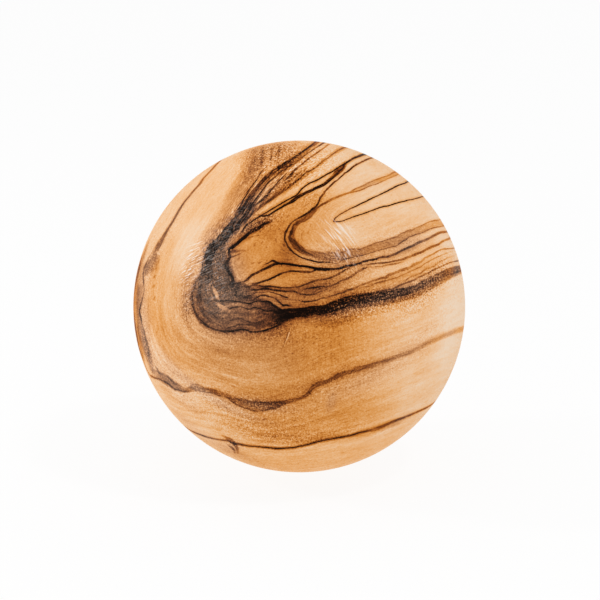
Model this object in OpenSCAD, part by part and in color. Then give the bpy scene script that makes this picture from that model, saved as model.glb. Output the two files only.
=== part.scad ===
// Turned wooden ball
//
// One solid piece of figured hardwood, turned to a true sphere and sanded smooth.
// It has no hole, flat or core. The origin is the centre of the ball.

/* [Ball] */
// Diameter of the finished ball
ball_diameter = 60; // [40:1:120]

/* [Hidden] */

// Largest height of the true surface above a drawn facet, in millimetres
facet_error = 0.02;

// Facets round the equator that keep every facet within facet_error of the sphere
facets = ceil(180 / acos(1 - facet_error / (ball_diameter / 2)) / 4) * 4;

// The ball: a sphere about the origin, with the lathe's axis along Z
module ball() {
    color("burlywood")
        sphere(d = ball_diameter, $fn = facets);
}

ball();
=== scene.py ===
"""A turned ball of boldly figured olive wood, on a plain white floor.

The ball is one smooth piece. Its dark veins, haze and growth lines are drawn as curves that
run round the whole ball. Each curve gives the mesh a signed distance, a width and a tone, and
the wood's material turns those into crisp lines, stipple and fine grain.
"""
import math

import bpy
import numpy as np
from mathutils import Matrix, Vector


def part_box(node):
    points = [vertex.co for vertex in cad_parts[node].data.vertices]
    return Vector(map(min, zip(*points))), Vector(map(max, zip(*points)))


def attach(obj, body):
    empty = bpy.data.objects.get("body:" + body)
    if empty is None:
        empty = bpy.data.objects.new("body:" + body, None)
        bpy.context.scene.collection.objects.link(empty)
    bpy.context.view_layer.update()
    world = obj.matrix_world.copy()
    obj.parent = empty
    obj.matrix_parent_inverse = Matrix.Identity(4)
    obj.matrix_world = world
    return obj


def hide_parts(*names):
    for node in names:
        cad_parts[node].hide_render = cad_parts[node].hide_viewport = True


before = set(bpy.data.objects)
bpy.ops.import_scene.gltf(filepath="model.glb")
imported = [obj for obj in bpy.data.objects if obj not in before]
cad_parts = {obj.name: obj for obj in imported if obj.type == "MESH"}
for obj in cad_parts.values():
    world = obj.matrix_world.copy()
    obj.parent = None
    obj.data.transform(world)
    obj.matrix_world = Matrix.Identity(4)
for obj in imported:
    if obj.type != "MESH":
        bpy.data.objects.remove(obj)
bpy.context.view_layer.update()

bl_info = {
    "name": "Turned Wooden Ball",
    "version": (1, 0, 0),
    "blender": (4, 5, 0),
    "location": "3D View > Sidebar > Wooden Ball",
    "description": "Makes a turned ball of figured wood and a plain stage for it",
    "category": "Add Mesh",
}

BALL_NODE = "ball"
BALL_BODY = "root"
PIECE_NAME = "figured_ball"
FLOOR_NAME = "floor"

MM = 1000.0
low_corner, high_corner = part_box(BALL_NODE)
CAD_DIAMETER = max(high_corner - low_corner)

# The figure is drawn as the camera sees it: across and up from the ball's middle, in
# millimetres on a ball whose outline has a radius of 30 mm
DRAWN_RADIUS = 30.0
IMAGE_SIZE = 600.0
OUTLINE_RADIUS_PIXELS = 165.93
MIDDLE_X_PIXELS = 299.23
MIDDLE_Y_PIXELS = 306.45


# The veins of the wood

def vein(name, tone, level, near=(), behind=(), behind_first=False, glow=None):
    """One line of the figure.

    near holds its points on the side that faces the camera and behind those on the far side,
    each (across, up, width) or (across, up, width, tone). Widths are as seen on the near side
    and along the surface on the far side. level is its place in the order of growth. glow is
    the extra width and the tone of a soft stain round the line.
    """
    return {
        "name": name, "tone": tone, "level": level, "near": near, "behind": behind,
        "behind_first": behind_first, "glow": glow,
    }


OUTER_VEINS = (
    vein("outer left line", 0.42, 33, (
        (-27.05, 5.6, 2.3, 0), (-26.95, 6.4, 2.9, 0.16), (-26.8, 7.3, 2.4, 0.24),
        (-26.5, 8.3, 2.1, 0.26), (-26.3, 9.7, 0.7, 0.26), (-25.4, 11.1, 0.9), (-24.6, 12.5, 0.65),
        (-23.85, 13.8, 0.45, 0.44), (-22.9, 15.3, 0.38, 0.44), (-21.6, 17.6, 0.34, 0.44),
        (-20.7, 18.95, 0.32, 0.44), (-19.9, 19.9, 0.32, 0.44), (-18.9, 21.15, 0.32, 0.44),
        (-18.1, 22, 0.34, 0.44), (-17.3, 23.2, 0.32, 0.44), (-16.5, 24, 0.32, 0.44),
        (-15.4, 25.2, 0.32, 0.44), (-14.3, 26.33, 0.32, 0.44)), (
        (-13.5, 19, 0.6), (-11, 11, 0.7), (-6, 4, 0.7), (2, -0.5, 0.7), (12, -2, 0.6),
        (21, -3, 0.6), (28, -4, 0.6, 0.35), (29.73, -3.9, 0.6, 0.24)), glow=(0.5, 0.12)),
    vein("left band", 0.2, None, (
        (-26.9, 8.9, 0.8, 0.04), (-27.6, 7.2, 1.6, 0.14), (-28.3, 5.8, 1.8, 0.16),
        (-28.65, 4.6, 1.9, 0.18), (-28.9, 3.2, 1.9, 0.18), (-29.05, 1.8, 1.8, 0.18),
        (-29.15, 0.4, 1.7, 0.18), (-29.1, -1, 1.6, 0.18), (-28.9, -2.5, 1.5), (-28.75, -4.2, 2.1, 0.26),
        (-28.3, -6, 2.3, 0.3), (-27.8, -7.7, 2.2, 0.32), (-27.4, -8.8, 1.9, 0.3),
        (-27.15, -9.9, 1.5, 0.25), (-26.9, -10.9, 1, 0.08))),
    vein("left band's rim side", 0.32, None, (
        (-29, 6.4, 1.4, 0.02), (-29.4, 4.9, 2.4, 0.16), (-29.65, 3, 3.4, 0.22), (-29.75, 1, 3.7, 0.22),
        (-29.78, -1, 3.7, 0.22), (-29.7, -3, 3.5, 0.29), (-29.4, -5.2, 3.1, 0.31),
        (-28.95, -7, 2.6, 0.31), (-28.4, -9, 1.7, 0.25), (-27.8, -10.8, 0.8, 0.07))),
    vein("left band edge", 0.42, 33, (
        (-26.9, 9.3, 0.15, 0.2), (-27.5, 8.1, 0.3), (-28.1, 6.7, 0.3), (-28.2, 5.1, 0.25),
        (-28.1, 4, 0.2), (-28.05, 2.8, 0.2), (-28.25, 1.8, 0.25), (-28.6, 0.4, 0.3),
        (-28.85, -1.1, 0.35, 0.5), (-28.6, -2.2, 0.4, 0.5), (-28.4, -3.3, 0.3, 0.22),
        (-28.1, -4.4, 0.3, 0.22), (-27.8, -5.6, 0.35, 0.22), (-27.5, -6.8, 0.4, 0.22),
        (-27.2, -8, 0.4, 0.22), (-27.2, -9.3, 0.4, 0.22), (-27, -10.3, 0.3, 0.05), (-26.8, -11, 0.15, 0))),
    vein("rim line", 0.45, 35, (
        (-28.3, 9.6, 0.3, 0.2), (-28.65, 8.4, 0.9, 0.5), (-28.95, 7.2, 1.3, 0.58), (-29.2, 6, 1.4, 0.5),
        (-29.55, 4.2, 0.8, 0.4), (-29.8, 1.8, 0.5, 0.3), (-29.85, -0.5, 0.6, 0.3),
        (-29.72, -2.9, 1, 0.45), (-29.35, -5.4, 0.8, 0.5), (-29, -7.3, 0.5, 0.55),
        (-28.5, -8.8, 0.4, 0.5), (-28.05, -10.2, 0.3, 0.4), (-27.55, -11.4, 0.3, 0.35),
        (-27, -12.4, 0.25), (-26.5, -12.7, 0.3, 0.5), (-25.9, -13, 0.3, 0.45),
        (-25.3, -13.15, 0.3, 0.45), (-24.4, -13.6, 0.28, 0.4), (-23.6, -14.05, 0.3, 0.4),
        (-23.1, -14.5, 0.3, 0.4), (-22.5, -14.95, 0.3, 0.4), (-21.6, -15.15, 0.3, 0.4),
        (-21, -15.4, 0.35, 0.45), (-20.4, -15.4, 0.35, 0.42), (-19.4, -15.3, 0.25, 0.32),
        (-17.9, -15.3, 0.25, 0.3), (-16.9, -15.5, 0.25, 0.3), (-15.6, -15.75, 0.25, 0.35),
        (-14.6, -16.1, 0.2, 0.32), (-13, -16.5, 0.2, 0.3), (-12.3, -17.1, 0.3, 0.38),
        (-11.4, -17.7, 0.35, 0.45), (-10.2, -18.25, 0.25, 0.4), (-9.2, -18.5, 0.35, 0.5),
        (-8.3, -18.9, 0.3), (-7, -18.9, 0.25, 0.4), (-5.6, -18.65, 0.3), (-4.5, -18.4, 0.45, 0.5),
        (-3.6, -18.1, 0.3, 0.45), (-2.8, -17.8, 0.25, 0.4), (-2, -17.5, 0.2, 0))),
    vein("middle vein", 0.55, 33, (
        (-26.2, -10.4, 0.1, 0), (-25.85, -11, 0.25, 0.19), (-25.5, -11.7, 0.3, 0.29),
        (-25.1, -12.05, 0.3, 0.24), (-24.4, -12.2, 0.25, 0.14), (-23.8, -12.75, 0.25, 0.19),
        (-23.2, -13.3, 0.3, 0.29), (-22.6, -13.85, 0.35, 0.29), (-21.9, -14.15, 0.2, 0.2),
        (-21.2, -14.5, 0.15, 0.2), (-20.7, -14.85, 0.08, 0.2), (-20.3, -14.8, 0.08, 0.15),
        (-19.7, -14.45, 0.08, 0.25), (-19.1, -14.1, 0.08, 0.3), (-18.5, -14.1, 0.15, 0.3),
        (-17.8, -14.35, 0.2, 0.3), (-17.1, -14.75, 0.2, 0.3), (-16.3, -14.95, 0.45, 0.3),
        (-15.5, -15.3, 0.65, 0.31), (-14.8, -15.7, 0.85, 0.31), (-13.9, -16, 0.8, 0.28),
        (-12.9, -16.2, 0.75, 0.28), (-12, -16.5, 0.7, 0.23), (-11, -16.65, 0.55, 0.23),
        (-10, -16.95, 0.5, 0.25), (-9, -17.2, 0.45, 0.27), (-8, -17.25, 0.4, 0.34),
        (-7, -17.35, 0.45, 0.34), (-6, -17.4, 0.5, 0.34), (-5, -17.45, 0.5, 0.34),
        (-4, -17.4, 0.5, 0.37), (-3, -17.35, 0.6, 0.38), (-2.2, -17.2, 0.65, 0.38),
        (-1.2, -16.95, 0.6, 0.38), (-0.2, -16.7, 0.55, 0.38), (0.8, -16.3, 0.55, 0.4),
        (1.4, -16, 0.6, 0.55), (1.8, -15.5, 0.75, 0.51), (2.1, -14.96, 0.55, 0.46),
        (2.6, -14.46, 0.8, 0.42), (3.3, -14.06, 0.85, 0.4), (4.1, -13.81, 0.75, 0.4),
        (5, -13.56, 0.7, 0.42), (6, -13.11, 0.65, 0.44), (7.1, -12.51, 0.85, 0.44),
        (8.3, -12.06, 0.75, 0.4), (9.6, -11.66, 0.65, 0.4), (10.8, -11.25, 0.83, 0.45),
        (12, -10.98, 0.78, 0.39), (13.2, -10.6, 0.73, 0.35), (14.3, -10.2, 0.68, 0.33),
        (15.5, -9.85, 0.7, 0.34), (17, -9.3, 0.65, 0.3), (18.8, -8.65, 0.72, 0.28),
        (20, -8.25, 0.72, 0.26), (21.2, -7.75, 0.72, 0.24), (22.3, -7.2, 0.72, 0.24),
        (23.3, -6.65, 0.77, 0.24), (24.9, -5.9, 0.82, 0.21), (26.9, -5, 0.87, 0.21),
        (28.2, -4.45, 0.87, 0.21), (29.73, -3.9, 0.82, 0.21)), glow=(0.8, 0.16)),
    vein("middle vein body", 0.4, None, (
        (-13.4, -16.2, 0.4, 0), (-12.2, -16.8, 0.9, 0.29), (-11, -17.2, 1.2, 0.34),
        (-9.5, -17.7, 1.4, 0.37), (-8, -17.95, 1.6, 0.39), (-6.5, -18, 1.5, 0.41),
        (-5, -17.9, 1.3, 0.44), (-3.8, -17.6, 1, 0.44), (-2.6, -17.4, 0.7, 0.29), (-1.8, -17.2, 0.5, 0))),
    vein("middle vein, pale end", 0.3, None, (
        (-26.2, -12, 1, 0.13), (-25.2, -12.7, 1.3, 0.28), (-23.4, -13.7, 1.4, 0.28),
        (-21.8, -14.65, 1.1, 0.28), (-20.5, -15.1, 0.7, 0.28), (-19, -14.75, 0.85, 0.29),
        (-17.5, -14.95, 0.75, 0.31), (-16, -15.3, 0.55, 0.29), (-14.8, -15.8, 0.6, 0.14))),
    vein("bottom line", 0.72, 45, (
        (-20.6, -21.75, 0.2, 0.43), (-19.6, -22.45, 0.22, 0.48), (-18.4, -23, 0.22, 0.48),
        (-16.5, -23.65, 0.2, 0.48), (-14.5, -24.1, 0.2, 0.48), (-13, -24.3, 0.2, 0.53),
        (-11.8, -24.75, 0.25, 0.55), (-10.9, -24.9, 0.22), (-9, -25.25, 0.18, 0.8),
        (-7, -25.4, 0.18, 0.92), (-5.9, -25.5, 0.21, 0.94), (-4, -25.68, 0.3, 0.8), (-2, -25.6, 0.25),
        (-0.9, -25.48, 0.25), (0.1, -25.27, 0.27), (1.9, -24.88, 0.3, 0.68), (2.9, -24.57, 0.32, 0.66),
        (3.95, -24.3, 0.3, 0.68), (6, -23.9, 0.28), (7.7, -23.6, 0.28), (9.5, -23.25, 0.28),
        (11, -22.8, 0.3, 0.66), (12.32, -22.51, 0.37, 0.44), (13.42, -22.26, 0.52, 0.4),
        (14.52, -21.91, 0.52, 0.4), (15.72, -21.36, 0.42, 0.44), (16.92, -20.81, 0.32, 0.56),
        (18.1, -20.38, 0.3, 0.54), (20.4, -19.5, 0.28, 0.48), (21.5, -19, 0.25, 0.46),
        (22.7, -18.45, 0.25, 0.43), (23.85, -17.8, 0.23, 0.4), (24.6, -17.15, 0.2, 0.38)), (
        (22.5, -14.2, 0.6, 0.5), (15, -11, 0.5, 0.55), (6, -9.5, 0.5, 0.6), (-4, -9, 0.6, 0.6),
        (-12, -12, 0.6, 0.55), (-18, -17.5, 0.6, 0.5), (-20.6, -21.75, 0.5, 0.4)), glow=(0.7, 0.34)),
    vein("first red dot", 0.36, None, (
        (-26.5, 5.1, 0.08, 0.05), (-26.2, 5.4, 0.38, 0.31), (-25.9, 5.7, 0.08, 0.05))),
    vein("second red dot", 0.3, None, (
        (-26.7, 3.4, 0.08, 0.05), (-26.3, 3.7, 0.38, 0.25), (-26, 3.9, 0.08, 0.05))),
    vein("third red dot", 0.26, None, (
        (-26.5, 1.2, 0.08, 0.05), (-26.2, 1.5, 0.38, 0.21), (-25.9, 1.9, 0.08, 0.05))),
    vein("soft side of the bottom line", 0.12, None, (
        (11, -23.1, 1, 0.16), (13, -22.4, 1.4, 0.24), (15.5, -21.6, 1.4, 0.24), (18, -20.8, 1, 0.16))),
    vein("shade round the middle vein", 0.12, None, (
        (-11, -15.7, 2.2, 0.09), (-7, -16, 3, 0.17), (-3, -16.1, 3, 0.17), (0.5, -15.3, 3, 0.17),
        (3.5, -13.8, 2.2, 0.15), (8, -12.2, 2, 0.14), (13, -10.7, 1.8), (17, -9.3, 1, 0.03))),
    vein("upper smudge", 0.5, None, (
        (-14.4, -23.1, 0.2, 0.1), (-13.4, -23.6, 0.4, 0.35), (-12.6, -24.1, 0.7, 0.5),
        (-11.9, -24.7, 0.7, 0.55), (-11.4, -25.4, 0.6, 0.5), (-11.15, -26.2, 0.4, 0.3),
        (-11.1, -26.8, 0.2, 0.05))),
    vein("scratch", 0.3, None, (
        (-1.1, -2.6, 0.12, 0.1), (-1.55, -3.7, 0.16), (-1.95, -4.7, 0.16), (-2.5, -6.2, 0.14), (-3.1, -7.7, 0.12),
        (-3.35, -8.5, 0.1, 0.05))),
    vein("lower smudge", 0.45, None, (
        (-13, -24.9, 0.2, 0.2), (-12.3, -25.4, 0.4), (-11.8, -26, 0.35), (-11.7, -26.6, 0.2, 0.1))),
)

BLACK_BAND = (
    vein("black band", 1.0, 19.5, (
        (-4.5, -0.9, 0.3, 0.4), (-3.8, -1.2, 1, 0.75), (-2.9, -1.3, 1.6, 0.9), (-2, -1.25, 1.8, 0.97),
        (-0.7, -1.15, 1.65), (0.65, -1.05, 1.65, 1), (2, -0.8, 1.65, 1), (3.8, -0.68, 1.65, 1),
        (4.95, -0.45, 1.6, 1), (5.95, -0.1, 1.85, 1), (7, 0.3, 1.8, 0.97), (8.3, 0.75, 1.8, 0.94),
        (9.7, 1.1, 1.75, 0.92), (10.5, 1.25, 1.7, 0.9), (11.9, 1.42, 1.6, 0.82), (13.7, 1.75, 1.5, 0.8),
        (16, 2.05, 1.5, 0.74), (18, 2.5, 1.4, 0.72), (20, 2.92, 1.35, 0.7), (21.2, 3.4, 1.1, 0.5),
        (22.25, 4, 1.1, 0.57), (23.45, 4.6, 1.15, 0.55), (24.45, 5.15, 1.15, 0.53),
        (25.45, 5.6, 1.15, 0.55), (26.55, 6.1, 1.15, 0.55), (27.6, 6.4, 1.4, 0.46),
        (28.4, 6.65, 1.3, 0.46), (29.15, 6.95, 1.1, 0.48)), (
        (28, 8.6, 1.4, 0.8), (23.5, 10, 1.3, 0.85), (17, 10.3, 1.2, 0.88), (10.5, 11.5, 1.2, 0.88),
        (6, 15.5, 1.2, 0.85), (4, 21, 1.1, 0.85), (3.4, 26, 0.8, 0.85), (3.0, 29.85, 0.45, 0.8)), glow=(1.2, 0.26)),
    vein("fringe under the black band", 0.4, None, (
        (-1, -2.1, 0.4, 0.2), (2, -1.75, 0.5, 0.3), (5, -1.4, 0.6, 0.35), (8, -0.45, 0.8),
        (12, 0.35, 1.1), (16, 0.9, 1.1), (20, 1.85, 1.1), (23.5, 3.35, 0.9), (26, 4.75, 0.9),
        (28, 5.75, 0.8, 0.32), (29.3, 6.3, 0.6, 0.25))),
    vein("feathering under the fringe", 0.15, None, (
        (0, -2.6, 1.4, 0.08), (3, -2.5, 2, 0.18), (6, -2.3, 2.6, 0.26), (9, -1.6, 2.6, 0.26),
        (12, -0.8, 2.2, 0.13), (16, 0, 2, 0.1), (20, 1, 2, 0.1), (23.5, 2.8, 1.2, 0.05),
        (26, 4.2, 0.8, 0))),
    vein("haze above the black band", 0.2, None, (
        (5, 1.3, 0.6, 0.05), (8, 2.2, 1.4, 0.18), (10.5, 2.6, 1.7), (13, 3.3, 2.1), (16, 4.1, 2.5),
        (19, 5.1, 2.5, 0.17), (22, 6.3, 2.3, 0.14), (25, 7.7, 1.8, 0.1), (28, 9.1, 1.2, 0.06))),
    vein("band upper strand", 0.5, 18.4, (
        (10.4, 2.2, 0.15, 0.4), (11.9, 2.3, 0.2, 0.6), (13.7, 2.6, 0.25, 0.6), (15.3, 2.85, 0.25),
        (16.2, 3.05, 0.25), (17.1, 3.25, 0.3, 0.55), (17.7, 3.55, 0.3), (18.3, 3.9, 0.35),
        (18.9, 4.1, 0.3, 0.45), (19.75, 4.4, 0.3), (20.55, 4.7, 0.3), (21.2, 5.05, 0.3, 0.43),
        (21.8, 5.35, 0.3, 0.38), (22.8, 5.8, 0.3, 0.43), (23.55, 6.15, 0.3, 0.43),
        (24.25, 6.6, 0.35, 0.53), (24.9, 6.9, 0.3, 0.48), (25.6, 7.25, 0.25, 0.38),
        (26.3, 7.55, 0.25, 0.38), (27.2, 7.9, 0.25, 0.45), (27.95, 8.1, 0.25), (28.8, 8.45, 0.25)), (
        (26.5, 10.6, 0.5), (20, 11.6, 0.4), (13.5, 12.2, 0.4, 0.4), (9, 15, 0.4, 0.2), (7.5, 18, 0.3, 0))),
    vein("strand above the band", 0.35, None, (
        (19.5, 4.9, 0.3, 0.5), (20.15, 5.3, 0.25), (20.75, 5.5, 0.25), (21.4, 5.8, 0.25),
        (22, 6.05, 0.3), (22.4, 6.4, 0.35, 0.44), (22.9, 6.75, 0.3, 0.29), (23.55, 7, 0.3, 0.29),
        (24.25, 7.2, 0.25, 0.29), (24.65, 7.5, 0.25, 0.29), (25.3, 8, 0.2, 0.3), (26.3, 8.5, 0.2, 0.25),
        (27.5, 9, 0.2, 0.2), (28.4, 9.4, 0.2, 0.1))),
)

RIGHT_BUNDLE = (
    vein("tan line from the wedge", 0.36, 16.5, (
        (-0.7, 1.1, 0.2, 0.3), (0.05, 1.1, 0.2, 0.4), (0.6, 0.9, 0.25, 0.7), (0.9, 0.85, 0.35, 0.8),
        (1.55, 0.87, 0.3, 0.75), (2.3, 0.95, 0.25, 0.65), (3, 1.1, 0.25, 0.6), (3.5, 1.25, 0.25, 0.5),
        (4.05, 1.5, 0.3, 0.5), (4.7, 1.52, 0.25, 0.5), (5.25, 1.6, 0.25, 0.45), (5.8, 1.93, 0.25, 0.5),
        (6.5, 2.02, 0.3, 0.65), (7.05, 2.3, 0.3, 0.55), (7.6, 2.42, 0.3, 0.5), (8.1, 2.58, 0.3, 0.5),
        (8.5, 2.88, 0.35, 0.5), (9.2, 3.02, 0.4, 0.5), (9.8, 3.22, 0.4, 0.5), (10.3, 3.45, 0.35, 0.45),
        (10.9, 3.75, 0.25), (11.5, 4, 0.35, 0.48), (12.3, 4.3, 0.3), (13.2, 4.6, 0.3, 0.41),
        (14.1, 4.9, 0.35, 0.41), (15, 5.15, 0.45, 0.43), (15.6, 5.25, 0.5, 0.47),
        (16.3, 5.7, 0.55, 0.47), (17.1, 6, 0.5, 0.41), (17.8, 6.25, 0.45, 0.41),
        (18.5, 6.55, 0.5, 0.45), (19.3, 6.8, 0.5, 0.45), (19.9, 6.95, 0.4, 0.39),
        (20.6, 7.5, 0.5, 0.37), (21.3, 7.8, 0.5, 0.34), (22, 8.1, 0.4, 0.3), (22.6, 8.65, 0.35, 0.3),
        (23.4, 9.1, 0.3), (24.1, 9.45, 0.3), (24.8, 9.85, 0.3), (25.6, 10.25, 0.25),
        (26.4, 10.4, 0.3, 0.42), (27.1, 10.45, 0.25), (28, 10.55, 0.2)), (
        (22, 12, 0.5), (16, 12.6, 0.5), (11.4, 14, 0.5), (8.8, 17.5, 0.5), (8, 22, 0.5), (8.4, 28.75, 0.4))),
    vein("lower tan line", 0.34, 17.4, (
        (10.9, 3.3, 0.2, 0.2), (12.3, 3.65, 0.25), (13.2, 3.9, 0.25), (14.05, 4.2, 0.3, 0.4),
        (14.75, 4.42, 0.3, 0.42), (15.5, 4.58, 0.3, 0.42), (16.3, 4.8, 0.25), (17.1, 5.05, 0.25),
        (17.9, 5.3, 0.25), (18.6, 5.65, 0.2), (19.4, 6, 0.2, 0.3), (20.15, 6.35, 0.25),
        (20.75, 6.65, 0.2), (21.4, 6.9, 0.25, 0.4), (22, 7.15, 0.2), (22.7, 7.75, 0.2),
        (23.45, 8.1, 0.2), (24.05, 8.5, 0.2), (24.9, 8.9, 0.2), (25.7, 9.25, 0.2, 0.3),
        (26.8, 9.7, 0.2, 0.2), (27.9, 10, 0.2, 0.1))),
    vein("brown line", 0.5, 13, (
        (10.5, 7.5, 0.2, 0.3), (11.4, 7.5, 0.2, 0.4), (12.3, 7.55, 0.2, 0.42), (13.2, 7.72, 0.25, 0.53),
        (14.1, 7.8, 0.27, 0.58), (15, 7.85, 0.3, 0.6), (16, 7.95, 0.3, 0.58), (17.1, 8.2, 0.33, 0.53),
        (17.9, 8.35, 0.35, 0.5), (18.7, 8.5, 0.42, 0.45), (19.4, 8.8, 0.42), (20.15, 9.05, 0.42, 0.48),
        (20.75, 9.3, 0.47, 0.53), (21.4, 9.6, 0.47, 0.53), (22.1, 9.8, 0.47, 0.53),
        (22.7, 10.15, 0.42, 0.51), (23.45, 10.55, 0.42, 0.51), (24.25, 10.9, 0.42, 0.53),
        (25.1, 11.2, 0.42, 0.53), (25.6, 11.55, 0.42, 0.43), (26.1, 11.85, 0.4, 0.43),
        (26.7, 12.1, 0.4, 0.43), (27.25, 12.35, 0.4, 0.43)), (
        (23, 13.3, 0.5), (17.5, 13.4, 0.5), (12.8, 14.6, 0.4), (10.3, 18, 0.4), (9.8, 23, 0.3, 0.3),
        (10.2, 27, 0.3, 0))),
    vein("faint tan line", 0.32, None, (
        (12.6, 7.1, 0.2, 0.15), (14, 7.15, 0.25), (15, 7.2, 0.3, 0.35), (15.85, 7.5, 0.25),
        (17.1, 7.68, 0.3, 0.42), (18.1, 7.88, 0.25), (18.9, 8.1, 0.2, 0.2), (19.8, 8.4, 0.15, 0))),
    vein("eye lower line", 0.9, 11, (
        (-12.3, 4.05, 0.4, 0.55), (-11.4, 4.15, 0.3, 0.6), (-10.6, 4.38, 0.25, 0.62),
        (-9.9, 4.52, 0.25, 0.65), (-9.4, 4.88, 0.43, 0.75), (-8.95, 5.3, 0.43, 0.8),
        (-8.5, 5.7, 0.43, 0.82), (-7.85, 5.98, 0.43, 0.85), (-7.2, 6.3, 0.43, 0.8),
        (-6.5, 6.65, 0.43, 0.75), (-5.8, 7, 0.43, 0.75), (-5.2, 7.28, 0.48, 0.7),
        (-4.6, 7.6, 0.46, 0.85), (-4, 7.78, 0.51, 0.97), (-3.4, 7.75, 0.39, 1), (-2.5, 7.7, 0.38, 1),
        (-1.7, 7.62, 0.39, 1), (-0.95, 7.5, 0.42, 1), (-0.2, 7.35, 0.44, 1), (0.65, 7.28, 0.42, 1),
        (1.55, 7.18, 0.42, 1), (2.3, 7.03, 0.46, 1), (3, 6.82, 0.56, 0.98), (3.8, 6.76, 0.56, 0.98),
        (4.7, 6.7, 0.56, 0.98), (5.6, 6.7, 0.51, 0.98), (6.5, 6.75, 0.4, 0.93), (7.2, 6.86, 0.4, 0.92),
        (7.75, 7.02, 0.45), (8.3, 7.22, 0.4, 0.88), (9.7, 7.5, 0.4, 0.88), (10.45, 7.65, 0.38, 0.85),
        (11.05, 7.85, 0.38, 0.78), (11.5, 8.08, 0.38, 0.82), (12.15, 8.25, 0.38, 0.85),
        (13.5, 8.5, 0.36, 0.85), (14, 8.6, 0.36, 0.8), (14.5, 8.82, 0.38, 0.64),
        (15.3, 8.98, 0.45, 0.66), (16, 9.02, 0.42, 0.54), (16.9, 9.3, 0.4, 0.56),
        (17.5, 9.55, 0.42, 0.6), (18.7, 10.18, 0.4, 0.66), (19.95, 10.74, 0.4, 0.64),
        (20.55, 10.97, 0.42, 0.62), (21.2, 11.35, 0.42, 0.53), (21.7, 11.62, 0.49, 0.57),
        (22.3, 11.8, 0.44, 0.42), (22.9, 12.05, 0.44, 0.46), (24.05, 12.65, 0.46, 0.52),
        (25.3, 13.3, 0.5, 0.54), (26.1, 13.45, 0.44, 0.54), (26.75, 13.55, 0.39, 0.52)), (
        (22, 14.8, 0.6, 0.8), (17, 14.6, 0.7), (13.4, 16, 0.7), (11.8, 19, 0.6), (11.2, 23.5, 0.5),
        (11.85, 27.55, 0.4))),
    vein("bundle top edge", 0.38, 6.5, (
        (8.3, 10.35, 0.15, 0.1), (9.9, 10.4, 0.2, 0.25), (11, 10.35, 0.2), (12, 10.75, 0.2),
        (13, 11.1, 0.2), (14, 11.55, 0.2), (14.8, 11.7, 0.2), (15.55, 11.95, 0.2), (16.35, 12.25, 0.2),
        (17.2, 12.5, 0.2), (18, 12.8, 0.2), (18.4, 13.15, 0.2), (19.1, 13.4, 0.2), (19.85, 13.8, 0.22, 0.42),
        (20.55, 13.9, 0.2), (21.2, 14.25, 0.2), (22, 14.55, 0.2), (22.8, 14.95, 0.2), (23.65, 15.35, 0.25),
        (24.25, 15.5, 0.25), (25.55, 15.7, 0.2)), (
        (21.5, 16.6, 0.5), (17.8, 16.6, 0.5), (15.8, 17.6, 0.5), (15.4, 20, 0.5), (16, 22.6, 0.5),
        (17.5, 24.35, 0.5))),
    vein("bundle lower edge", 0.48, 8, (
        (7.4, 8.1, 0.17, 0.2), (7.85, 8.4, 0.17, 0.35), (8.45, 8.6, 0.17), (9.2, 8.78, 0.17),
        (9.9, 8.92, 0.17), (10.55, 9.1, 0.17), (11.4, 9.22, 0.17, 0.5), (12.15, 9.48, 0.13, 0.58),
        (12.8, 9.65, 0.13, 0.58), (13.7, 9.92, 0.13, 0.58), (14.9, 10.3, 0.15, 0.58),
        (15.85, 10.5, 0.15, 0.58), (16.65, 10.75, 0.19, 0.42), (17.5, 10.92, 0.22, 0.42),
        (18.1, 11.3, 0.22, 0.41), (18.65, 11.72, 0.25, 0.46), (19.25, 12.02, 0.25, 0.46),
        (19.65, 12.4, 0.17, 0.42), (20.15, 12.65, 0.19, 0.42), (20.75, 12.85, 0.22, 0.46),
        (21.3, 13.05, 0.22, 0.46), (22, 13.25, 0.19, 0.42), (23.25, 13.85, 0.22, 0.46),
        (23.95, 14.1, 0.22, 0.46), (24.65, 14.3, 0.22, 0.49), (25.4, 14.4, 0.19, 0.42),
        (26.2, 14.58, 0.17, 0.42))),
    vein("bundle body", 0.3, None, (
        (0.7, 15.6, 0.4, 0.1), (-0.2, 15.2, 0.8, 0.4), (-0.9, 14.2, 0.8, 0.43), (-1.3, 13.2, 0.9, 0.47),
        (-1.35, 12.4, 1.1, 0.53), (-0.9, 11.4, 1.2, 0.53), (-0.1, 10.6, 1.2, 0.53),
        (0.8, 10, 1.1, 0.45), (1.8, 9.6, 1, 0.42), (3, 9.3, 1.3, 0.38), (4.5, 9.1, 1.6, 0.36),
        (6, 9.1, 1.8, 0.33), (7.5, 9.3, 1.8, 0.3), (9, 9.6, 1.6, 0.3), (10.5, 9.8, 1.4, 0.3),
        (12.3, 10.2, 1.2, 0.28), (14, 10.85, 1.3, 0.24), (16.6, 11.5, 1.4, 0.24),
        (18.3, 12.2, 1.4, 0.25), (20, 13.2, 1.2, 0.22), (22.3, 13.95, 1.2, 0.2), (24.2, 14.8, 1.2, 0.2),
        (25.95, 15.1, 1.1, 0.2)), (
        (21.5, 16, 1.3, 0.2), (17.2, 15.9, 1.2, 0.2), (14.8, 17.2, 1.2, 0.2), (14.4, 20, 1.2, 0.2),
        (15.3, 22.8, 1.3, 0.2), (17.6, 24.2, 1.5, 0.2))),
    vein("body under the eye's line", 0.14, None, (
        (14.5, 8.5, 0.4, 0.06), (16.5, 8.95, 0.7), (18.5, 9.75, 0.85), (20.3, 10.55, 0.75),
        (22, 11.35, 0.5, 0.06))),
    vein("inner dark streak", 0.5, None, (
        (-1, 15, 0.2, 0.3), (-1.15, 14.4, 0.4, 0.49), (-1.3, 13.85, 0.4, 0.54),
        (-1.45, 13.3, 0.5, 0.54), (-1.8, 12.7, 0.5, 0.54), (-1.6, 12.15, 0.7, 0.54),
        (-1.05, 11.75, 0.7, 0.54), (-0.6, 11.3, 0.6, 0.54), (-0.25, 10.8, 0.5), (0.3, 10.3, 0.5),
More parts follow.
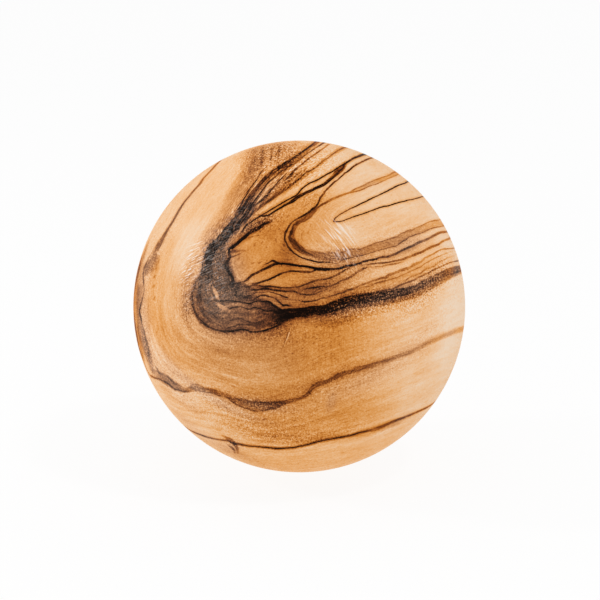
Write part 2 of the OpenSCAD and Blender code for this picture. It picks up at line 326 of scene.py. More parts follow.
        (0.85, 9.9, 0.4), (1.55, 9.6, 0.4, 0.45), (2.5, 9.35, 0.4, 0.3), (3.6, 9.1, 0.4, 0.1))),
)

LOOPS = (
    vein("inner loop line", 0.8, 9, (
        (13.05, 26.85, 0.3, 0.65), (12.3, 26.6, 0.3, 0.65), (11.65, 26.3, 0.3, 0.7),
        (11.05, 26, 0.3, 0.7), (9.95, 25.4, 0.33, 0.8), (9.5, 25.05, 0.33, 0.9), (8.9, 24.5, 0.33, 0.9),
        (8.35, 24.15, 0.3, 0.8), (7.7, 23.6, 0.27, 0.8), (6.95, 22.9, 0.27, 0.75),
        (6.2, 22.35, 0.3, 0.75), (5.55, 21.7, 0.33, 0.72), (5.05, 21.2, 0.33, 0.72),
        (4.75, 20.9, 0.3, 0.6), (4.35, 20.3, 0.35, 0.6), (4, 19.9, 0.35, 0.65), (3.7, 19.4, 0.35, 0.7),
        (3.55, 18.95, 0.3, 0.7), (3.3, 18.5, 0.35), (3, 18.1, 0.35), (2.5, 17.7, 0.38, 0.85),
        (1.9, 17.2, 0.38, 0.85), (1.15, 16.65, 0.38, 0.88), (0.5, 16.3, 0.38, 0.88), (0, 16, 0.3, 0.85),
        (-0.7, 15.65, 0.22, 0.8), (-1.3, 15.2, 0.22, 0.73), (-1.65, 14.85, 0.34, 0.68),
        (-1.9, 14.4, 0.34, 0.68), (-2.2, 13.85, 0.4, 0.75), (-2.45, 13.3, 0.4, 0.75),
        (-2.6, 12.75, 0.37, 0.75), (-2.6, 12.15, 0.34, 0.75), (-2.4, 11.6, 0.32, 0.73),
        (-2.15, 11.1, 0.32, 0.73), (-1.85, 10.55, 0.37, 0.78), (-1.4, 10.1, 0.37, 0.85),
        (-0.95, 9.65, 0.28, 0.85), (-0.4, 9.3, 0.25, 0.82), (0.2, 8.93, 0.28, 0.82),
        (0.85, 8.68, 0.3, 0.82), (1.55, 8.47, 0.3, 0.8), (2.3, 8.3, 0.3), (2.9, 8.1, 0.33, 0.82),
        (3.55, 8.02, 0.3, 0.82), (4.25, 8.03, 0.3, 0.82), (5, 8, 0.28, 0.75), (5.5, 7.93, 0.25, 0.65),
        (6.3, 7.85, 0.25, 0.5), (7, 7.75, 0.2, 0.2), (7.5, 7.7, 0.1, 0)), (
        (14.6, 16.4, 0.3, 0), (13.7, 18.3, 0.5, 0.5), (12.7, 21.5, 0.6, 0.55), (12.6, 25, 0.6, 0.55)), True),
    vein("twin line, upper edge", 0.34, 6.5, (
        (9.6, 20.95, 0.2, 0.4), (10.35, 21.38, 0.2), (11.25, 21.7, 0.2), (12.2, 22.22, 0.22),
        (13.1, 22.6, 0.2), (14, 22.95, 0.22), (15.05, 23.35, 0.22), (16, 23.65, 0.2, 0.25),
        (16.9, 24.15, 0.25), (17.5, 24.35, 0.25))),
    vein("twin line", 0.36, 7, (
        (2.6, 17.4, 0.3, 0.3), (3.3, 17.85, 0.3, 0.5), (4.1, 18.4, 0.38, 0.6), (4.75, 18.72, 0.4, 0.56),
        (5.4, 19.12, 0.4, 0.5), (6.15, 19.5, 0.4, 0.45), (7.05, 19.85, 0.38, 0.44),
        (7.95, 20.2, 0.36, 0.42), (9.02, 20.54, 0.32, 0.39), (10.05, 20.75, 0.25, 0.46),
        (11, 21, 0.25, 0.46), (12.15, 21.52, 0.22, 0.46), (13.15, 21.92, 0.22, 0.46),
        (13.85, 22.1, 0.25, 0.46), (15.17, 22.72, 0.22, 0.33), (16.22, 23.17, 0.22, 0.29),
        (17.22, 23.57, 0.22, 0.33), (17.92, 23.9, 0.22, 0.31))),
    vein("twin line body", 0.2, None, (
        (9.5, 20.9, 0.3, 0.1), (11, 21.45, 0.45), (12.2, 22, 0.55), (13.5, 22.5, 0.6), (15, 23.05, 0.65),
        (16.5, 23.65, 0.7), (17.7, 24.15, 0.75))),
    vein("loop brown side", 0.42, None, (
        (3.4, 17.9, 0.45, 0.18), (2.8, 17.35, 0.65, 0.5), (2.2, 16.8, 0.75, 0.48),
        (1.6, 16.2, 0.85, 0.5), (0.9, 15.75, 0.85, 0.53), (0.2, 15.4, 0.75, 0.48),
        (-0.4, 15, 0.65, 0.38))),
    vein("finger", 0.85, 2, (
        (19.72, 22.58, 0.25, 0.99), (18.85, 22.2, 0.23, 0.96), (17.9, 21.88, 0.25, 1),
        (17, 21.42, 0.25, 1), (16, 20.92, 0.25, 1), (14.95, 20.4, 0.23, 1), (14, 19.95, 0.23, 1),
        (13.1, 19.55, 0.23, 0.99), (12.1, 19.02, 0.23, 0.96), (11.05, 18.53, 0.23, 0.92),
        (10, 18, 0.23, 0.9), (9, 17.55, 0.22, 0.76), (7.95, 16.95, 0.2, 0.7), (7.3, 16.58, 0.2, 0.68),
        (6.8, 16.22, 0.2, 0.68), (6.42, 15.85, 0.2, 0.72), (6.25, 15.55, 0.25, 0.62),
        (6.3, 15.36, 0.3, 0.52), (6.7, 15.34, 0.2, 0.72), (7.4, 15.38, 0.2, 0.77),
        (8.05, 15.52, 0.2, 0.76), (8.5, 15.74, 0.2, 0.74), (8.95, 15.88, 0.2, 0.76),
        (10, 16.28, 0.2, 0.94), (11.05, 16.6, 0.2, 0.96), (12.1, 16.95, 0.2, 0.99),
        (13.1, 17.35, 0.2, 0.99), (13.9, 17.65, 0.22, 1), (14.75, 17.95, 0.22, 1),
        (15.35, 18.1, 0.22, 1), (16.1, 18.2, 0.21, 0.99), (17, 18.5, 0.21, 0.99),
        (17.9, 18.78, 0.21, 1), (18.85, 18.98, 0.21, 0.96), (19.65, 19.22, 0.23, 0.89),
        (20.5, 19.35, 0.2, 0.89), (21.3, 19.58, 0.2, 0.89), (22.5, 19.9, 0.17, 0.89)), (
        (20.2, 18.4, 0.6), (18.3, 17.9, 0.5), (17.4, 18.6, 0.5), (17.7, 20.6, 0.4), (19.72, 22.58, 0.35))),
)

EYE = (
    vein("eye left line", 0.74, 11.4, (
        (-12.3, 10.8, 0.3, 0.6), (-12.65, 10.35, 0.4, 0.85), (-12.7, 9.65, 0.5, 0.8),
        (-12.58, 9, 0.5, 0.72), (-12.8, 8.35, 0.45, 0.66), (-13.3, 7.9, 0.4, 0.66),
        (-13.4, 7.35, 0.45, 0.66), (-13.1, 6.9, 0.5, 0.66), (-12.75, 6.3, 0.5, 0.66),
        (-12.5, 5.8, 0.5, 0.66), (-12.15, 5.4, 0.45, 0.66), (-12, 4.8, 0.45, 0.7),
        (-12, 4.2, 0.4, 0.62), (-12.1, 3.6, 0.3, 0.3))),
    vein("eye lower second line", 0.85, 12, (
        (-8.3, 4.1, 0.29, 0.45), (-7.4, 4.27, 0.34, 0.85), (-6.9, 4.42, 0.36, 0.77),
        (-6.3, 4.62, 0.34, 0.77), (-5.6, 4.8, 0.36, 0.77), (-5.1, 5.05, 0.34, 0.82),
        (-4.55, 5.3, 0.34, 0.82), (-3.9, 5.65, 0.36, 0.82), (-3.4, 5.9, 0.36, 0.77),
        (-2.8, 6.08, 0.35, 0.6), (-2.1, 6.25, 0.4, 0.6), (-1.6, 6.38, 0.35, 0.8),
        (-1, 6.37, 0.36, 0.88), (-0.4, 6.36, 0.33, 0.75), (0.3, 6.3, 0.4, 0.62), (1, 6.25, 0.45, 0.6),
        (1.8, 6.25, 0.42, 0.6), (2.4, 6.33, 0.3, 0.8), (2.9, 6.55, 0.3))),
    vein("tick above the eye line", 0.85, None, (
        (-6.5, 7.5, 0.1, 0.2), (-6.15, 7.65, 0.2, 0.6), (-5.6, 7.82, 0.25, 0.75), (-5.2, 8.05, 0.3, 0.8),
        (-4.8, 8.28, 0.35), (-4.4, 8.15, 0.4, 0.9), (-3.9, 7.9, 0.3, 0.9))),
    vein("upper twin", 0.6, 14, (
        (-10.6, 3.4, 0.2, 0.3), (-9.2, 3.6, 0.25, 0.5), (-8.4, 3.9, 0.3, 0.55), (-7.3, 3.8, 0.25, 0.54),
        (-6.9, 3.66, 0.3, 0.69), (-6.2, 3.62, 0.35, 0.74), (-5.2, 3.66, 0.3, 0.74),
        (-4.6, 3.58, 0.3, 0.66), (-3.9, 3.48, 0.3, 0.6), (-3.2, 3.4, 0.28, 0.56),
        (-2.3, 3.4, 0.25, 0.62), (-1.4, 3.42, 0.25), (-0.7, 3.5, 0.25), (0.1, 3.62, 0.25),
        (0.7, 3.8, 0.28), (1.5, 4.1, 0.35, 0.58), (2.3, 4.42, 0.4, 0.5), (3.2, 4.72, 0.35, 0.5),
        (3.9, 4.85, 0.3, 0.5), (4.7, 4.93, 0.3, 0.5), (5.3, 5.07, 0.3, 0.52), (5.95, 5.33, 0.35, 0.55),
        (6.65, 5.6, 0.35, 0.55), (7.3, 5.98, 0.35, 0.55), (7.8, 6.28, 0.35), (8.3, 6.6, 0.25, 0.55),
        (8.8, 6.85, 0.22, 0.55), (9.3, 7.15, 0.2, 0.55))),
    vein("lower twin", 0.68, 15, (
        (-9.7, 2.8, 0.2, 0.2), (-9, 2.7, 0.2, 0.4), (-8.3, 3.02, 0.3, 0.75), (-7.85, 3, 0.3, 0.8),
        (-7.1, 3.1, 0.3), (-6.3, 3.25, 0.35, 0.75), (-5.6, 3.17, 0.35, 0.75), (-4.9, 3, 0.35, 0.72),
        (-4.2, 2.9, 0.35, 0.72), (-3.4, 2.78, 0.35, 0.78), (-2.5, 2.71, 0.35, 0.78),
        (-1.5, 2.71, 0.35, 0.74), (-0.7, 2.66, 0.3, 0.68), (-0.1, 2.35, 0.25, 0.45),
        (0.6, 2.22, 0.25, 0.42), (1.3, 2.12, 0.3, 0.45), (2.1, 2.12, 0.25, 0.5), (2.7, 2.2, 0.22, 0.45),
        (3.3, 2.45, 0.2, 0.35), (4, 2.7, 0.2, 0.2), (5, 3, 0.2, 0.1))),
    vein("twin body", 0.42, None, (
        (-10, 3.3, 0.6, 0.04), (-8.5, 3.35, 0.95, 0.36), (-6.5, 3.4, 1, 0.44), (-4.5, 3.25, 0.9, 0.4),
        (-3, 3.1, 0.85, 0.32), (-1.5, 3.05, 0.8, 0.24), (-0.5, 3.05, 0.75, 0.16), (0.5, 3.1, 0.8, 0.02),
        (1.4, 3.3, 0.8, 0))),
    vein("blotched line", 0.48, None, (
        (0.9, 3.08, 0.15, 0.4), (1.5, 3.25, 0.2, 0.6), (2.1, 3.35, 0.25, 0.75), (2.7, 3.42, 0.35, 0.85),
        (3.2, 3.45, 0.4, 0.85), (3.7, 3.6, 0.3, 0.7), (4.3, 3.6, 0.2, 0.45), (5.2, 3.55, 0.2, 0.4),
        (5.9, 3.75, 0.25, 0.42), (6.5, 4, 0.25), (7, 4.3, 0.3, 0.52), (7.6, 4.65, 0.3), (8.2, 4.85, 0.35),
        (8.8, 5.1, 0.4), (9.4, 5.4, 0.4), (10, 5.85, 0.45, 0.42), (10.5, 6.3, 0.4), (11, 6.47, 0.35, 0.55),
        (11.5, 6.8, 0.4, 0.62), (12, 6.98, 0.3, 0.6), (12.3, 7.15, 0.15, 0.3))),
    vein("first swirl", 0.5, None, (
        (-10.6, 1.9, 0.24, 0.46), (-9.8, 1.75, 0.29, 0.51), (-9.2, 1.85, 0.24, 0.46),
        (-8.6, 2.08, 0.29, 0.56), (-8.2, 2.3, 0.29, 0.61), (-7.7, 2.52, 0.24, 0.56),
        (-7.1, 2.5, 0.24, 0.46), (-6.35, 2.58, 0.24, 0.41), (-5.6, 2.66, 0.24, 0.46),
        (-4.95, 2.56, 0.26, 0.71), (-4.2, 2.32, 0.24, 0.56), (-3.65, 2.12, 0.26, 0.66),
        (-3.1, 1.9, 0.29, 0.71), (-2.65, 1.76, 0.29, 0.71), (-2.2, 1.58, 0.29, 0.66),
        (-1.8, 1.45, 0.14, 0.16))),
    vein("second swirl", 0.58, None, (
        (-8.3, 1.1, 0.19, 0.25), (-8.05, 1.3, 0.24, 0.45), (-7.6, 1.65, 0.26, 0.63),
        (-7.15, 1.9, 0.26, 0.63), (-6.7, 2.05, 0.29, 0.7), (-6.25, 2.05, 0.32, 0.75),
        (-5.8, 1.9, 0.32, 0.73), (-5.25, 1.75, 0.29, 0.63), (-4.7, 1.6, 0.26, 0.55),
        (-4.25, 1.38, 0.26, 0.55), (-3.9, 1.05, 0.34, 0.7), (-3.55, 0.72, 0.34, 0.73),
        (-3.2, 0.4, 0.34, 0.73), (-2.85, 0.15, 0.39, 0.85), (-2.4, 0.22, 0.39, 0.9),
        (-2, 0.2, 0.29, 0.85), (-1.7, 0.1, 0.19, 0.35))),
)

KNOT = (
    vein("knot outline", 0.66, 19.5, (
        (-17.4, 8.3, 0.24, 0.3), (-17.5, 7.2, 0.29, 0.5), (-17.55, 6.4, 0.29, 0.55),
        (-17.9, 5.6, 0.18, 0.44), (-18.4, 4.9, 0.21, 0.44), (-18.75, 4.2, 0.18, 0.39),
        (-18.9, 3.4, 0.18, 0.39), (-19.25, 2.6, 0.21, 0.39), (-19.35, 1.7, 0.21, 0.44),
        (-19.25, 0.7, 0.21, 0.49), (-19.05, -0.5, 0.26, 0.54), (-18.7, -1.3, 0.26, 0.59),
        (-18.1, -2.2, 0.31, 0.59), (-17.6, -2.8, 0.44, 0.68), (-17, -3.3, 0.44), (-16.3, -3.7, 0.39),
        (-15.5, -4.1, 0.36, 0.64), (-14.8, -4.32, 0.34, 0.62), (-13.9, -4.42, 0.34, 0.64),
        (-13, -4.5, 0.36), (-12.2, -4.45, 0.34, 0.82), (-11.3, -4.3, 0.32, 0.78),
        (-10.2, -4.2, 0.32, 0.8), (-9.4, -4.33, 0.32, 0.84), (-8.9, -4.55, 0.34, 0.86),
        (-8.1, -4.6, 0.34, 0.86), (-7.2, -4.55, 0.34, 0.86), (-6.3, -4.37, 0.34, 0.86),
        (-5.5, -4.1, 0.34, 0.86), (-4.7, -3.8, 0.34, 0.86), (-4, -3.55, 0.37, 0.86),
        (-3.3, -3.15, 0.37, 0.88), (-2.7, -2.75, 0.44, 0.72), (-1.9, -2.35, 0.41, 0.67),
        (-1.2, -2, 0.31, 0.69)), glow=(0.6, 0.22)),
    vein("first knot line", 0.84, 17, (
        (-15.9, 1.1, 0.15, 0.4), (-15.1, 1.02, 0.25, 0.6), (-13.9, 1.05, 0.25, 0.6), (-12.8, 1.04, 0.28, 0.62),
        (-11.6, 0.95, 0.3, 0.66), (-10.45, 0.78, 0.28, 0.66), (-9.75, 0.62, 0.25, 0.75), (-9.1, 0.5, 0.28, 0.85),
        (-8.6, 0.62, 0.28), (-8.05, 0.85, 0.28), (-7.4, 0.95, 0.25), (-6.7, 0.9, 0.25), (-6, 0.87, 0.3, 0.86),
        (-5.4, 0.82, 0.35, 0.88), (-5, 0.55, 0.35, 0.88), (-4.7, 0.2, 0.35), (-4.2, -0.15, 0.35),
        (-3.65, -0.5, 0.4), (-3.1, -0.8, 0.4, 0.9))),
    vein("second knot line", 0.7, 17.8, (
        (-12.9, -0.6, 0.1, 0.3), (-12.5, -0.4, 0.2, 0.55), (-11.95, -0.15, 0.22, 0.65), (-11.15, -0.12, 0.22),
        (-10.3, -0.1, 0.22), (-9.65, -0.36, 0.22), (-9.05, -0.5, 0.22), (-8.5, -0.35, 0.22),
        (-8.05, -0.1, 0.25, 0.8), (-7.6, -0.3, 0.22), (-6.95, -0.45, 0.22), (-6.4, -0.75, 0.25, 0.78),
        (-5.8, -0.85, 0.28, 0.8), (-5.15, -0.8, 0.25, 0.75), (-4.5, -0.72, 0.25, 0.75))),
    vein("third knot line", 0.32, None, (
        (-16.9, -0.95, 0.2, 0.2), (-16, -1.15, 0.3), (-15.55, -1.55, 0.3), (-15.1, -2, 0.3, 0.4),
        (-14.4, -2.2, 0.3, 0.35), (-13.45, -2.1, 0.2, 0.2))),
    vein("fourth knot line", 0.4, 18.6, (
        (-12.6, -2.6, 0.15, 0.2), (-12.1, -2.45, 0.25), (-11.4, -2.2, 0.28), (-10.45, -2.25, 0.28),
        (-9.75, -2.6, 0.28), (-8.95, -2.85, 0.25), (-8.15, -3, 0.25), (-7.2, -2.9, 0.3, 0.3))),
    vein("fifth knot line", 0.42, None, (
        (-13.9, -3.95, 0.2, 0.2), (-13, -3.85, 0.22), (-12.1, -3.7, 0.25), (-11.4, -3.4, 0.25),
        (-10.45, -3.25, 0.25), (-9.3, -3.3, 0.25), (-8.15, -3.4, 0.2), (-7, -3.3, 0.2, 0.1))),
    vein("knot shadow by the band", 0.5, None, (
        (-6.9, -1.3, 0.2, 0.3), (-6.3, -1.35, 0.35), (-5.7, -1.42, 0.35), (-5, -1.6, 0.5, 0.4),
        (-4.3, -2, 0.8, 0.5), (-3.6, -2.1, 0.9, 0.6), (-3, -2, 0.8, 0.7))),
    vein("knot core", 0.5, None, (
        (-16.9, 9.3, 0.8, 0.31), (-16.6, 8.6, 1.3, 0.43), (-16.5, 7.6, 1.5, 0.46),
        (-16.5, 6.6, 1.5, 0.43), (-16.4, 5.6, 1.5, 0.39), (-16.3, 4.8, 1.3, 0.21), (-16.1, 4.1, 1, 0.01))),
    vein("knot's right tail", 0.52, None, (
        (-13.6, 4.2, 1.6, 0.06), (-12, 3.6, 2.2, 0.24), (-10.5, 2.8, 3, 0.46), (-9.2, 2.4, 2.4, 0.42),
        (-8, 2.2, 1.5, 0.26), (-6.8, 2.4, 0.9, 0.04))),
    vein("knot body", 0.53, None, (
        (-14.2, 11.2, 1.2, 0.25), (-14.6, 10, 2.6, 0.5), (-14.9, 8.6, 3.8), (-15, 7, 4.7),
        (-15.1, 5, 5.9), (-15, 3, 7.6), (-14.4, 1.2, 8.8, 0.5), (-12.5, -0.8, 7.2, 0.46),
        (-10.5, -1.1, 6.2, 0.44), (-8.5, -1.15, 5.8, 0.48), (-6.8, -1.4, 5.2, 0.58),
        (-5.4, -1.55, 4.2, 0.68), (-4.2, -1.65, 3.4, 0.76), (-3, -1.7, 2.2, 0.8), (-2, -1.7, 1.2, 0.75))),
    vein("shade under the knot", 0.16, None, (
        (-15.5, -4.6, 0.5, 0), (-12.5, -5, 1.2, 0.1), (-9.5, -5.2, 1.6, 0.12), (-6.5, -5.2, 1.6, 0.12),
        (-4.2, -4.6, 1.6, 0.14), (-2.6, -3.7, 1.4, 0.12), (-1.4, -2.8, 0.8, 0.06))),
    vein("knot's dark left side", 0.27, None, (
        (-17.75, 6, 1, 0.15), (-18.15, 4.8, 1.5, 0.32), (-18.55, 3.5, 1.9, 0.32),
        (-18.75, 2, 2.1, 0.32), (-18.65, 0.4, 2.1, 0.32), (-18.15, -1, 1.9, 0.32),
        (-17.25, -2.3, 1.7, 0.32), (-16.3, -3.2, 0.9, 0.22), (-15.3, -3.8, 0.5, 0.02))),
)

TOP_BAND = (
    vein("top band", 0.92, 18.8, (
        (3, 29.85, 0.25, 0.65), (2.7, 29.6, 0.25, 0.65), (2.05, 29.05, 0.3, 0.75),
        (1.3, 28.45, 0.35, 0.85), (0.75, 28.1, 0.33), (-0.2, 27.4, 0.4), (-1, 26.8, 0.45),
        (-1.75, 26.35, 0.45), (-2.45, 25.9, 0.6), (-3.2, 25.4, 0.62), (-3.85, 24.95, 0.62, 0.74),
        (-4.6, 24.45, 0.66, 0.74), (-5.25, 23.95, 0.66, 0.68), (-6, 23.3, 0.7, 0.68),
        (-6.65, 22.65, 0.7, 0.68), (-7.3, 21.95, 0.72, 0.86), (-7.95, 21.15, 0.75, 0.86),
        (-8.4, 20.6, 0.78, 0.86), (-9, 19.7, 0.82), (-9.4, 18.95, 0.85), (-9.8, 18.25, 0.88),
        (-10.25, 17.6, 0.95), (-10.75, 16.9, 1, 0.76), (-11.23, 16.12, 1, 0.61),
        (-11.78, 15.42, 1, 0.61), (-12.33, 14.72, 1.05, 0.64), (-12.88, 14.02, 1.1, 0.64),
        (-13.48, 13.27, 1.15, 0.64), (-13.98, 12.57, 1.25, 0.67), (-14.53, 11.82, 1.35, 0.71),
        (-15.2, 11.2, 1.5, 0.76), (-15.7, 10.55, 1.65, 0.8), (-16.1, 9.8, 1.7, 0.71),
        (-16.4, 9, 1.5, 0.64)), (
        (3.5, 27, 0.6, 0.2), (3.1, 29.7, 0.4, 0.7)), True, glow=(1.6, 0.22)),
    vein("band brown body", 0.42, None, (
        (1.5, 28.2, 0.5, 0.15), (-0.6, 26.6, 0.9, 0.25), (-2.4, 25.1, 1.3, 0.4),
        (-4.1, 23.7, 1.4, 0.34), (-5.8, 22.2, 1.4, 0.34), (-7.4, 20.3, 1.6, 0.34),
        (-8.8, 18.3, 2.3, 0.26), (-10.1, 16.4, 2.8, 0.28), (-11.2, 14.9, 3, 0.32),
        (-12.3, 13.4, 3, 0.32), (-13.8, 11.5, 2.2, 0.22), (-15, 10.4, 1.2, 0.02))),
    vein("haze left of the band", 0.16, None, (
        (-6.4, 27.6, 1, 0.03), (-8, 25.6, 2.2, 0.12), (-9.5, 23.2, 2.8), (-11, 20.6, 3),
        (-12.2, 17.9, 2.8, 0.11), (-13.6, 15.4, 2.5, 0.11), (-15, 13.2, 2.2, 0.07),
        (-16.4, 11.2, 1.8, 0.03), (-17.4, 9.2, 1.2, 0))),
    vein("left thin line", 0.78, None, (
        (-5.75, 25.4, 0.25, 0.08), (-6.35, 24.85, 0.25, 0.28), (-6.9, 24.3, 0.2, 0.48),
        (-7.3, 23.6, 0.22, 0.56), (-7.7, 22.9, 0.22, 0.56), (-8.2, 22.1, 0.22, 0.56),
        (-8.75, 21.45, 0.22), (-9.1, 21, 0.25), (-9.4, 20.4, 0.25), (-9.8, 19.8, 0.25),
        (-10.2, 19.15, 0.25, 0.82), (-10.5, 18.45, 0.25, 0.82), (-10.9, 17.8, 0.3), (-11.3, 17.2, 0.3))),
    vein("right of the band", 0.78, 17.6, (
        (4.35, 29.55, 0.3, 0.7), (3.7, 29.1, 0.25, 0.7), (2.95, 28.65, 0.22, 0.66), (2.3, 28.2, 0.22, 0.62),
        (1.55, 27.7, 0.22, 0.6), (0.9, 27.2, 0.22, 0.55), (0.15, 26.6, 0.25, 0.55), (-0.65, 26, 0.25, 0.6),
        (-1.65, 25.4, 0.25, 0.7), (-2.3, 25.05, 0.25), (-3.1, 24.5, 0.25), (-3.85, 23.9, 0.25),
        (-4.5, 23.35, 0.22), (-5.25, 22.7, 0.22), (-5.9, 22.05, 0.25, 0.85), (-6.4, 21.25, 0.25, 0.85),
        (-6.9, 20.6, 0.25, 0.85), (-7.45, 19.9, 0.25, 0.85), (-7.85, 19.4, 0.25, 0.85), (-8.25, 18.9, 0.25),
        (-8.65, 18.35, 0.3), (-9, 17.8, 0.3)), (
        (5.5, 24.5, 0.4, 0.1), (4.9, 27, 0.6, 0.5)), True),
    vein("brown strand", 0.46, None, (
        (5.4, 29.35, 0.3), (4.5, 28.7, 0.3), (3.6, 28.05, 0.3), (2.7, 27.45, 0.3), (1.9, 26.9, 0.3),
        (1.15, 26.3, 0.3), (0.25, 25.5, 0.35), (-0.4, 25, 0.4, 0.6), (-1.15, 24.3, 0.4, 0.68),
        (-1.65, 23.65, 0.45, 0.72), (-2.2, 23.1, 0.4, 0.66), (-2.6, 22.8, 0.2, 0.3))),
    vein("dark strand", 0.84, 16.5, (
        (-2.3, 24.2, 0.15, 0.3), (-3, 23.35, 0.25), (-3.6, 22.8, 0.22), (-4.1, 22.2, 0.22), (-4.6, 21.55, 0.22),
        (-5.15, 21, 0.25), (-5.5, 20.5, 0.32), (-5.95, 19.95, 0.42, 0.88), (-6.55, 19.42, 0.42, 0.88),
        (-7.2, 18.9, 0.38), (-7.9, 18.45, 0.35), (-8.5, 17.95, 0.35), (-8.85, 17.45, 0.35), (-9.2, 16.9, 0.35),
        (-9.7, 16.2, 0.32), (-10.2, 15.5, 0.32), (-10.7, 14.85, 0.32), (-11.25, 14.15, 0.32),
        (-11.75, 13.65, 0.32), (-12.25, 13.2, 0.4), (-12.7, 12.7, 0.4, 0.7), (-13.2, 12, 0.4, 0.6),
        (-13.8, 11.2, 0.4, 0.5), (-14.3, 10.6, 0.4, 0.2)), glow=(0.6, 0.25)),
    vein("streaked strand", 0.48, 15, (
        (8.45, 28.75, 0.2, 0.5), (7.7, 28.55, 0.25), (6.8, 28.05, 0.25), (5.9, 27.45, 0.16, 0.52),
        (5.15, 26.85, 0.18, 0.52), (4.4, 26.4, 0.18, 0.52), (3.85, 25.95, 0.18, 0.52),
        (3.2, 25.3, 0.23, 0.52), (2.7, 24.95, 0.23, 0.52), (1.6, 24.4, 0.28, 0.52),
        (0.65, 23.7, 0.28, 0.52), (-0.25, 22.9, 0.33, 0.56), (-1, 22.3, 0.5, 0.54),
        (-1.8, 21.7, 0.5, 0.54), (-2.8, 21, 0.5, 0.52), (-3.6, 20.4, 0.45, 0.54),
        (-4.5, 19.75, 0.45, 0.56), (-5.4, 19.15, 0.45, 0.56), (-6.3, 18.6, 0.45, 0.54),
        (-7.05, 18, 0.42, 0.54), (-7.8, 17.35, 0.4, 0.5), (-8.6, 16.6, 0.35, 0.5),
        (-9.3, 15.9, 0.3, 0.45), (-9.9, 15.1, 0.3, 0.4), (-10.4, 14.4, 0.25, 0.3)), glow=(0.7, 0.2)),
    vein("second streak", 0.38, None, (
        (1.6, 25.2, 0.2, 0.15), (0.75, 24.55, 0.3), (-0.25, 24, 0.3), (-1.3, 23.1, 0.35),
        (-2.3, 22.4, 0.45), (-3.35, 21.5, 0.7, 0.26), (-4.2, 20.7, 1, 0.33), (-5, 19.9, 1.1, 0.36),
        (-6, 19, 0.9, 0.4), (-7, 18.2, 0.6, 0.2))),
    vein("strand by the band", 0.62, None, (
        (-8.2, 19.5, 0.2, 0.3), (-8.8, 18.7, 0.35), (-9.2, 17.9, 0.4, 0.7), (-9.6, 17.1, 0.45, 0.72),
        (-10.1, 16.3, 0.45, 0.72), (-10.7, 15.5, 0.5, 0.72), (-11.3, 14.8, 0.5, 0.6),
        (-11.9, 14.1, 0.5, 0.6), (-12.5, 13.5, 0.5, 0.65), (-13, 12.9, 0.5, 0.6), (-13.6, 12, 0.4, 0.4),
        (-14.2, 11.2, 0.3, 0.1))),
    vein("first black line", 0.92, 12.6, (
        (11.9, 27.5, 0.4, 0.86), (11.35, 27.4, 0.4, 0.86), (10.75, 27.15, 0.4, 0.86),
        (10.05, 26.9, 0.4, 0.86), (9.5, 26.6, 0.35, 0.79), (9.1, 26.35, 0.4, 0.79), (8.6, 26.05, 0.33),
        (7.95, 25.65, 0.3), (7.3, 25.3, 0.27), (6.65, 24.85, 0.27), (5.9, 24.35, 0.27),
        (4.85, 23.82, 0.27), (3.85, 23.2, 0.27), (2.95, 22.7, 0.27), (1.9, 22.32, 0.27),
        (1.3, 21.9, 0.26), (0.65, 21.42, 0.28), (0.25, 21.02, 0.28), (-0.15, 20.5, 0.26),
        (-0.5, 20.15, 0.25), (-1.15, 19.75, 0.25), (-2.05, 19.3, 0.24), (-2.8, 18.87, 0.25),
        (-3.6, 18.4, 0.25), (-4.35, 17.95, 0.25), (-5.15, 17.5, 0.25), (-5.75, 17.1, 0.25, 0.85),
        (-6.4, 16.75, 0.22, 0.8), (-6.9, 16.45, 0.25, 0.85), (-7.6, 15.95, 0.27), (-8.1, 15.65, 0.27),
        (-8.7, 15.25, 0.25, 0.9), (-9.35, 14.9, 0.25, 0.9), (-9.8, 14.4, 0.25, 0.85),
        (-10.1, 13.95, 0.22, 0.8), (-10.45, 13.5, 0.2, 0.5)), (
        (11.3, 24.5, 0.5, 0.2), (11.8, 27.3, 0.4, 0.85)), True, glow=(0.5, 0.12)),
    vein("second black line", 0.95, None, (
        (8.15, 25.8, 0.3, 0.7), (7.95, 25.1, 0.35, 0.7), (7.3, 24.5, 0.35, 0.75),
        (6.85, 23.98, 0.45, 0.8), (6.2, 23.43, 0.48, 0.82), (5.55, 22.93, 0.52, 0.88),
        (4.9, 22.38, 0.55, 0.92), (4.3, 21.96, 0.55), (3.5, 21.6, 0.52, 0.9), (2.92, 21.37, 0.52, 0.9),
        (2.17, 20.97, 0.5, 0.9), (1.42, 20.64, 0.52, 0.85), (0.77, 20.34, 0.55, 0.85),
        (0.12, 19.97, 0.58, 0.85), (-0.53, 19.57, 0.6, 0.85), (-1.25, 19, 0.58, 0.85),
        (-2.05, 18.58, 0.45), (-2.8, 18.18, 0.4), (-3.45, 17.78, 0.36), (-4.25, 17.3, 0.32),
        (-5, 16.8, 0.32), (-5.75, 16.42, 0.32), (-6.5, 16.35, 0.28), (-7, 16.4, 0.2, 0.7))),
    vein("brown lens", 0.42, None, (
        (8.6, 25.9, 0.3, 0.3), (8.0, 25.3, 0.8, 0.55), (7.4, 24.7, 1.0, 0.6), (6.8, 24.1, 0.9, 0.55),
        (6.0, 23.4, 0.7, 0.4), (5.0, 22.6, 0.5, 0.2))),
    vein("third black line", 0.9, None, (
        (-5.1, 15.4, 0.2, 0.1), (-5.6, 15.15, 0.3, 0.4), (-6.2, 14.95, 0.4, 0.7),
        (-7.59, 14.05, 0.65, 0.95), (-8.14, 13.85, 0.7, 0.95), (-8.74, 13.51, 0.65), (-9.23, 13.1, 0.5),
        (-9.74, 12.64, 0.7, 0.94), (-10.24, 12.26, 0.62, 0.94), (-10.74, 11.84, 0.62, 0.94),
        (-11.24, 11.36, 0.62, 0.94), (-11.79, 10.96, 0.62, 0.94), (-12.19, 10.62, 0.62, 0.94),
